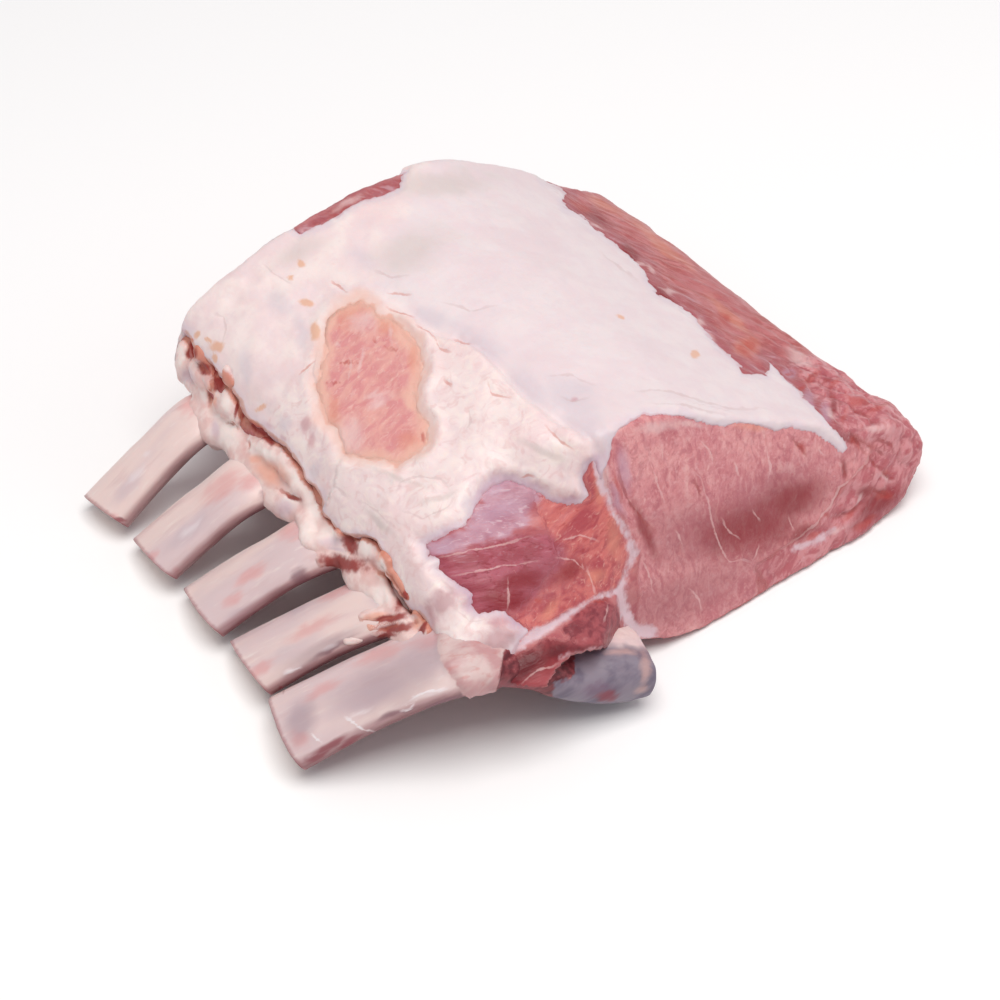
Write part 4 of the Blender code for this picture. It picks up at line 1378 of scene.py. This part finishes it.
# %% Material: raw pork muscle
def make_muscle_material():
    material, tree, shader = start_material("raw_pork_muscle")
    place = add(tree, "ShaderNodeTexCoord").outputs["Object"]
    grain = add(tree, "ShaderNodeAttribute", attribute_name="grain").outputs["Vector"]
    clouds = {"Vector": place, "Detail": 3.0}
    broad, middle, fine, tiny = [
        add(tree, "ShaderNodeTexNoise", {**clouds, "Scale": 1 / (size * MM)}).outputs[0]
        for size in (22, 7, 2.2, 0.8)
    ]
    wander = {"Vector": grain, "Detail": 3.0, "Distortion": 0.8}
    bundles, strands = [
        add(tree, "ShaderNodeTexNoise", {**wander, "Scale": 1 / (size * MM)}).outputs[0]
        for size in (3.4, 1.1)
    ]
    wander.update({"Scale": 1 / (5 * MM), "Distortion": 2.5})
    curls = add(tree, "ShaderNodeTexNoise", wander).outputs[0]

    # Muscle cut along its fibres, as on the thin edge, the far strip and the underside.
    colour = paint(tree, "#ad5654", [
        ("#c4797a", bundles, 0.38, 0.62),
        ("#ba6b6f", broad, 0.45, 0.6, 0.6),
        ("#d59f9e", strands, 0.55, 0.8, 0.35),
        ("#94424a", strands, 0.45, 0.25, 0.5),
    ])
    near_fat = lay(tree, "#000000", "#ffffff", "under", -6.0, -1.0, 1.0, middle, 2.0)
    colour = paint(tree, colour, [
        ("#8e3f52", near_fat, 0.0, 1.0, 0.7, None, 0.0, bundles),
        ("#d3aab2", bundles, 0.58, 0.7, 0.5, None, 0.0, near_fat),
        ("#d98f84", tiny, 0.6, 0.75, 0.4),
    ])
    far = paint(tree, "#b5686c", [
        ("#c68082", middle, 0.35, 0.65),
        ("#a25258", broad, 0.5, 0.35, 0.6),
    ])
    colour = lay(tree, colour, far, "far_cut", -1.5, 1.0, 1.0, fine, 0.8)

    # The loin eye, cut across: even, finely mottled, with pale flecks of marbling.
    eye = paint(tree, "#cd8186", [
        ("#dc9798", broad, 0.38, 0.62),
        ("#bd6c73", middle, 0.5, 0.3, 0.4),
        ("#e2a9a8", bundles, 0.54, 0.7, 0.5),
        ("#b4606a", bundles, 0.44, 0.3, 0.5),
        ("#eac0bd", strands, 0.6, 0.74, 0.4),
        ("#b2606a", curls, 0.48, 0.34, 0.45),
        ("#e6b2b0", curls, 0.52, 0.7, 0.42),
        ("#c0707a", fine, 0.48, 0.3, 0.4),
        ("#e2a8a8", fine, 0.54, 0.72, 0.4),
        ("#b05c66", tiny, 0.46, 0.28, 0.3),
        ("#e6b4b2", tiny, 0.56, 0.74, 0.3),
    ])
    colour = paint(tree, colour, [
        (eye, "eye", -0.5, 0.5, 1.0, middle, 0.8),
        (eye, "far_eye", -0.5, 0.5, 1.0, middle, 0.8),
    ])

    # The side muscle: coarse bundles with dark hollows and pale skins between them.
    side = paint(tree, "#b9676e", [
        ("#d08d91", bundles, 0.38, 0.6),
        ("#a34d56", middle, 0.42, 0.3, 0.6),
        ("#deabac", strands, 0.56, 0.7, 0.35),
        ("#b04a48", strands, 0.42, 0.3, 0.4),
    ])
    colour = lay(tree, colour, side, "side", -0.5, 1.5, 1.0, middle, 1.5)

    # The patch over the bones: film, purple and orange muscle, and the dark muscles below it.
    patch = lay(tree, "#b25c62", "#c67a7a", bundles, 0.35, 0.65)
    colour = lay(tree, colour, patch, "patch", -0.5, 0.5)
    orange = paint(tree, "#ad4c53", [
        ("#cb6f6b", bundles, 0.35, 0.62),
        ("#e2a79c", strands, 0.54, 0.74, 0.5),
        ("#a83f40", strands, 0.44, 0.3, 0.5),
    ])
    colour = lay(tree, colour, orange, "orange", -1.5, 1.5, 1.0, bundles, 2.0)
    purple = paint(tree, "#9c4450", [
        ("#b25d6c", bundles, 0.35, 0.62),
        ("#cda0ae", strands, 0.58, 0.8, 0.4),
        ("#8a2c38", strands, 0.45, 0.3, 0.75),
    ])
    colour = lay(tree, colour, purple, "purple", -1.5, 1.5, 1.0, bundles, 2.0)
    film = paint(tree, "#ad7487", [
        ("#c59cac", middle, 0.35, 0.65),
        ("#e3ced8", strands, 0.54, 0.72, 0.55),
    ])
    colour = lay(tree, colour, film, "film", -1.5, 2.0, 0.85, bundles, 2.5)
    dark = paint(tree, "#7d2c36", [
        ("#a85055", bundles, 0.35, 0.62),
        ("#c07a79", strands, 0.6, 0.8, 0.4),
    ])
    colour = lay(tree, colour, dark, "dark", -0.6, 0.8, 1.0, fine, 0.8)

    # The window in the fat: pink muscle with an orange rim and white streaks.
    hole = paint(tree, "#d89090", [
        ("#e2a69e", bundles, 0.35, 0.65),
        ("#d08784", middle, 0.45, 0.3, 0.4),
        ("#efccc4", strands, 0.52, 0.72, 0.35),
        ("#e8b4a5", "window", 4.4, 0.4, 1.0, middle, 3.2),
    ])
    colour = lay(tree, colour, hole, "window", -2.5, -1.5)

    # Spots and lines that belong to one place.
    colour = paint(tree, colour, [
        ("#dc9079", "warm", 0.15, 1.0, 0.5, middle, 0.15),
        ("#bf99ac", "cool", 0.15, 1.0, 0.6, bundles, 0.15),
        ("#94505a", "dusk", 0.0, 1.0, 0.5),
        ("#82121b", "shade", 0.1, 1.0, 0.75, middle, 0.15),
        ("#5a121c", "deep", 0.1, 0.9, 0.75, fine, 0.12),
        ("#b3443c", "accent", 0.25, 0.9, 0.6, fine, 0.25),
        # Painted shade: the side muscle's creases are drawn darker.
        ("#94404a", "creases", 0.2, 1.0, 0.45, fine, 0.2),
        ("#e6c4c3", "pale", 0.2, 1.0, 0.6, bundles, 0.2),
        ("#dbc0c8", "seam", -0.9, 0.9, 0.9, fine, 0.9),
    ])
    colour = draw_lines(tree, colour, "#e3bdbb", "pale_lines", 0.45, 0.5, fine)
    # Painted shade in the cracks between bundles.
    colour = draw_lines(tree, colour, "#9c3f3e", "dark_lines", 0.7, 0.6, fine)
    colour = paint(tree, colour, [
        ("#b9777a", "knob", -2.0, 0.5, 0.8, fine, 1.0),
        ("#c98672", "crevice", -4.5, -2.0, 1.0, fine, 1.0),
        ("#932c26", "slit", 0.2, 0.7, 1.0, fine, 0.2),
    ])

    make_moist(shader, 2.0, (1.0, 0.35, 0.25), 0.22, 1.4)
    height = add(tree, "ShaderNodeMath", {0: strands, 1: fine}, operation="ADD").outputs[0]
    set_surface(tree, shader, colour, middle, 0.5, 0.34, height, 0.45, 0.4)
    return material


raw_muscle = make_muscle_material()
muscle.data.materials.append(raw_muscle)
print(raw_muscle.name, "has", len(raw_muscle.node_tree.nodes), "nodes")

# %% [markdown]
# ## Fat
# Raw back fat is firm, waxy and white with a pink breath where it is thin, bluish where a membrane
# still lies on it, and stained orange in a few spots. It scatters light deep inside.

# %% Material: raw back fat
def make_fat_material():
    material, tree, shader = start_material("raw_back_fat")
    place = add(tree, "ShaderNodeTexCoord").outputs["Object"]
    clouds = {"Vector": place, "Detail": 3.0}
    broad, middle, fine, tiny = [
        add(tree, "ShaderNodeTexNoise", {**clouds, "Scale": 1 / (size * MM)}).outputs[0]
        for size in (28, 9, 3, 1.1)
    ]
    colour = paint(tree, "#ecd5d5", [
        ("#f1e0dd", middle, 0.35, 0.65),
        ("#e6c8c9", broad, 0.5, 0.35, 0.5),
        ("#e4cdd0", fine, 0.46, 0.3, 0.3),
        ("#f5e8e3", tiny, 0.6, 0.8, 0.25),
    ])
    # The upper layer, on the bones' side, is crossed by faint pink and cream fibres.
    wander = {"Vector": place, "Scale": 1 / (6 * MM), "Detail": 3.0, "Distortion": 2.0}
    fibres = add(tree, "ShaderNodeTexNoise", wander).outputs[0]
    upper = lay(tree, "#000000", "#ffffff", "left", -1.0, 4.0)
    colour = paint(tree, colour, [
        ("#dfb9b7", fibres, 0.48, 0.32, 0.45, None, 0.0, upper),
        ("#f6e6de", fibres, 0.5, 0.7, 0.5, None, 0.0, upper),
        ("#dfd2d8", "left", 0.5, -3.0, 0.5, middle, 1.5),
        ("#d0c3cc", "cool", 0.2, 1.0, 0.5, middle, 0.3),
        ("#d0c1bd", "grey", 0.2, 1.0, 0.6, middle, 0.3),
        ("#c1959a", "shade", 0.2, 0.9, 0.75, fine, 0.3),
        ("#c88f96", "mauve", 0.2, 1.0, 0.6, fine, 0.25),
        ("#dccbd4", "under", 3.0, 0.5, 0.6, middle, 1.0),
    ])
    thin = add(tree, "ShaderNodeAttribute", attribute_name="thin").outputs["Fac"]
    colour = paint(tree, colour, [
        ("#c6a4b6", "under", 4.4, 0.2, 0.85, fine, 1.8, thin),
        ("#cb9aa3", "under", 0.8, 0.0, 0.45, fine, 0.4),
        ("#ecc6ba", "from_window", 5.5, 0.8, 0.85, middle, 2.5),
        ("#e8b4a5", "from_window", 1.6, 0.4, 1.0, fine, 1.0),
        ("#e3ab88", "warm", 0.3, 0.8, 0.75, fine, 0.25),
        ("#c9503c", "red", 0.3, 0.7, 0.85, fine, 0.25),
        ("#d49a80", "lip", 1.0, 0.3, 0.6, fine, 0.4),
    ])
    colour = draw_lines(tree, colour, "#d2877a", "nicks", 0.5, 0.6, fine)
    # Painted shade in the wrinkles of the fat.
    colour = draw_lines(tree, colour, "#cbb0af", "wrinkles", 0.5, 0.4, fine)
    make_moist(shader, 2.5, (1.0, 0.6, 0.5), 0.3, 1.44)
    height = add(tree, "ShaderNodeMath", {0: middle, 1: fine}, operation="ADD").outputs[0]
    set_surface(tree, shader, colour, middle, 0.5, 0.36, height, 0.5, 0.3)
    return material


back_fat = make_fat_material()
fat.data.materials.append(back_fat)
print(back_fat.name, "has", len(back_fat.node_tree.nodes), "nodes")

# %% [markdown]
# ## Bone
# A scraped rib is ivory bone under a thin lilac membrane, with pink smudges of blood. Its underside
# darkens to a brown-purple flank, partly meat left on the bone and partly painted shade. The saw cut
# shows a pale rim round a red, spongy core.

# %% Material: scraped rib bone
def make_bone_material():
    material, tree, shader = start_material("scraped_rib_bone")
    place = add(tree, "ShaderNodeAttribute", attribute_name="grain").outputs["Vector"]
    clouds = {"Vector": place, "Detail": 3.0}
    broad, middle, fine, tiny = [
        add(tree, "ShaderNodeTexNoise", {**clouds, "Scale": 1 / (size * MM)}).outputs[0]
        for size in (14, 5, 1.8, 0.7)
    ]
    colour = paint(tree, "#e8cfca", [
        ("#dcc4c5", broad, 0.4, 0.62),
        ("#efe0da", fine, 0.56, 0.76, 0.5),
        ("#cfaeae", middle, 0.45, 0.28, 0.5),
        ("#c5b0b8", "cool", 0.2, 1.0, 0.5, middle, 0.2),
        ("#dd9c9a", "red", 0.2, 1.0, 0.6, fine, 0.3),
        ("#9d858f", "dusk", 0.1, 1.0, 0.5),
        # The downward flank, darker towards its edge: partly meat left on the bone, partly painted shade.
        ("#b07f83", "turned_down", 0.15, 0.6, 0.7, middle, 0.12),
        ("#74393f", "turned_down", 0.5, 0.85, 0.8, fine, 0.08),
        ("#a3666a", "from_tip", 1.6, 0.2, 0.6, fine, 0.4),
        ("#7f5560", "shade", 0.3, 1.0, 0.75, fine, 0.2),
    ])
    cartilage = paint(tree, "#665c70", [
        ("#857a88", middle, 0.35, 0.6),
        ("#74586f", "shade", 0.2, 1.0, 0.7, fine, 0.3),
    ])
    colour = paint(tree, colour, [
        (cartilage, "knob", -2.0, 0.5, 0.95, middle, 1.0),
        ("#cfa59d", "tissue", 0.2, 1.0, 0.6, fine, 0.25),
    ])
    cream = paint(tree, "#d3b8b5", [
        ("#c39495", middle, 0.4, 0.62),
        ("#c58480", fine, 0.46, 0.3, 0.5),
    ])
    colour = lay(tree, colour, cream, "under_fat", -0.4, 0.6, 1.0, fine, 0.8)
    meat = paint(tree, "#5f1c25", [
        ("#873b41", fine, 0.35, 0.62),
        ("#c98d86", fine, 0.6, 0.75, 0.6),
    ])
    colour = paint(tree, colour, [
        (meat, "under_meat", -0.4, 0.6, 1.0, fine, 0.8),
        ("#8a3440", "deep", 0.3, 0.9, 0.8, fine, 0.25),
        # Pale spots: film and tissue, and painted highlights.
        ("#efe4e6", "pale", 0.2, 1.0, 0.45, fine, 0.3),
    ])
    # Pale lines: membrane, and a painted highlight streak along the near bone.
    colour = draw_lines(tree, colour, "#efe6e8", "lines", 0.6, 0.85, tiny)
    colour = lay(tree, colour, "#e2cbc2", "saw_face", 0.3, 0.6)
    core = lay(tree, "#c99a92", "#9a4a4c", tiny, 0.4, 0.6)
    colour = lay(tree, colour, core, "saw_face", 0.9, 0.99, 0.85, fine, 0.03)
    make_moist(shader, 1.5, (1.0, 0.5, 0.4), 0.15, 1.45)
    set_surface(tree, shader, colour, middle, 0.48, 0.3, fine, 0.3, 0.3)
    return material


rib_bone = make_bone_material()
for bone in bones:
    bone.data.materials.append(rib_bone)
print(rib_bone.name, "has", len(rib_bone.node_tree.nodes), "nodes")

# %% [markdown]
# ## Rib meat
# The band over the bones is fat and meat torn together: cream lobes, orange-pink meat between them
# and deep red in the folds.

# %% Material: torn rib meat
def make_strip_material():
    material, tree, shader = start_material("torn_rib_meat")
    place = add(tree, "ShaderNodeTexCoord").outputs["Object"]
    clouds = {"Vector": place, "Detail": 3.0}
    broad, middle, fine = [
        add(tree, "ShaderNodeTexNoise", {**clouds, "Scale": 1 / (size * MM)}).outputs[0]
        for size in (12, 5, 1.8)
    ]
    colour = paint(tree, "#e3c0bb", [
        ("#eed6d1", middle, 0.4, 0.62),
        ("#d59c97", broad, 0.48, 0.33, 0.5),
        ("#f3e4df", "cream", 0.12, 1.0, 0.9, middle, 0.15),
        ("#e6aa96", "warm", 0.15, 0.9, 0.85, middle, 0.18),
        ("#cdb4be", "cool", 0.15, 1.0, 0.7, middle, 0.18),
        # Painted shade: the strip's hollows are drawn darker.
        ("#d39a90", "hollow", 0.25, 0.8, 0.3, fine, 0.15),
        ("#cd8069", "from_crevice", 2.4, 1.2, 0.85, fine, 0.6),
        ("#912e29", "red", 0.18, 0.75, 0.92, fine, 0.22),
    ])
    colour = draw_lines(tree, colour, "#b5604e", "cuts", 0.7, 0.7, fine)
    make_moist(shader, 2.0, (1.0, 0.45, 0.35), 0.22, 1.42)
    set_surface(tree, shader, colour, middle, 0.48, 0.34, fine, 0.4, 0.4)
    return material


rib_meat = make_strip_material()
strip.data.materials.append(rib_meat)
print(rib_meat.name, "has", len(rib_meat.node_tree.nodes), "nodes")

# %% [markdown]
# ## Floor and light
# A pale floor and large, soft lamps, as in a product picture: one broad lamp above, a little to the
# bone side, a weaker one from the right, and a bright even surround that fills the shadows.

# %% Floor and lamps
floor_mesh = bmesh.new()
bmesh.ops.create_circle(floor_mesh, cap_ends=True, segments=96, radius=3.0)
floor = new_piece("floor", floor_mesh)
floor_paint, _, floor_shader = start_material("pale_floor")
floor_shader.inputs["Base Color"].default_value = linear("#fbfafa")
floor_shader.inputs["Roughness"].default_value = 0.9
floor.data.materials.append(floor_paint)
floor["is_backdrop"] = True


def add_lamp(name, place, size, power, colour):
    light = bpy.data.lights.new(name, "AREA")
    light.size = size
    light.energy = power
    light.color = linear(colour)[:3]
    lamp = bpy.data.objects.new(name, light)
    lamp.location = place
    lamp.rotation_euler = (Vector(place) - Vector(AIM) * MM).to_track_quat("Z", "Y").to_euler()
    scene.collection.objects.link(lamp)


add_lamp("top_lamp", (-0.087, -0.262, 1.6), 1.16, 20.6, "#fffdfa")
add_lamp("right_lamp", (0.9, -0.7, 0.7), 0.8, 1.5, "#ffffff")
surround = bpy.data.worlds.new("surround")
surround.use_nodes = True
surround.node_tree.nodes["Background"].inputs["Color"].default_value = linear("#fbfbff")
surround.node_tree.nodes["Background"].inputs["Strength"].default_value = 0.41
scene.world = surround
print("lamps:", sorted(light.name for light in bpy.data.lights))

# %% [markdown]
# ## Handing the pieces to the frame
# Every piece rides on the frame's one body and stands for its CAD node, which is hidden.

# %% Pieces, nodes and slots
PIECES = [(muscle, "lean", "lean"), (fat, "fat_cap", "fat"), (strip, "rib_flap", "rib_meat")]
PIECES += [(bone, f"rib_{number + 1}", "bone") for number, bone in enumerate(bones)]
for piece, node, slot in PIECES:
    for face in piece.data.polygons:
        face.use_smooth = True
    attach(piece, "root")
    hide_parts(node)

LOOKS_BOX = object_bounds()
sizes = {"cad": [list(corner) for corner in CAD_BOX], "looks": [list(corner) for corner in LOOKS_BOX]}
for name, box in sizes.items():
    print(name, "box in mm:", [[round(value / MM, 1) for value in corner] for corner in box])
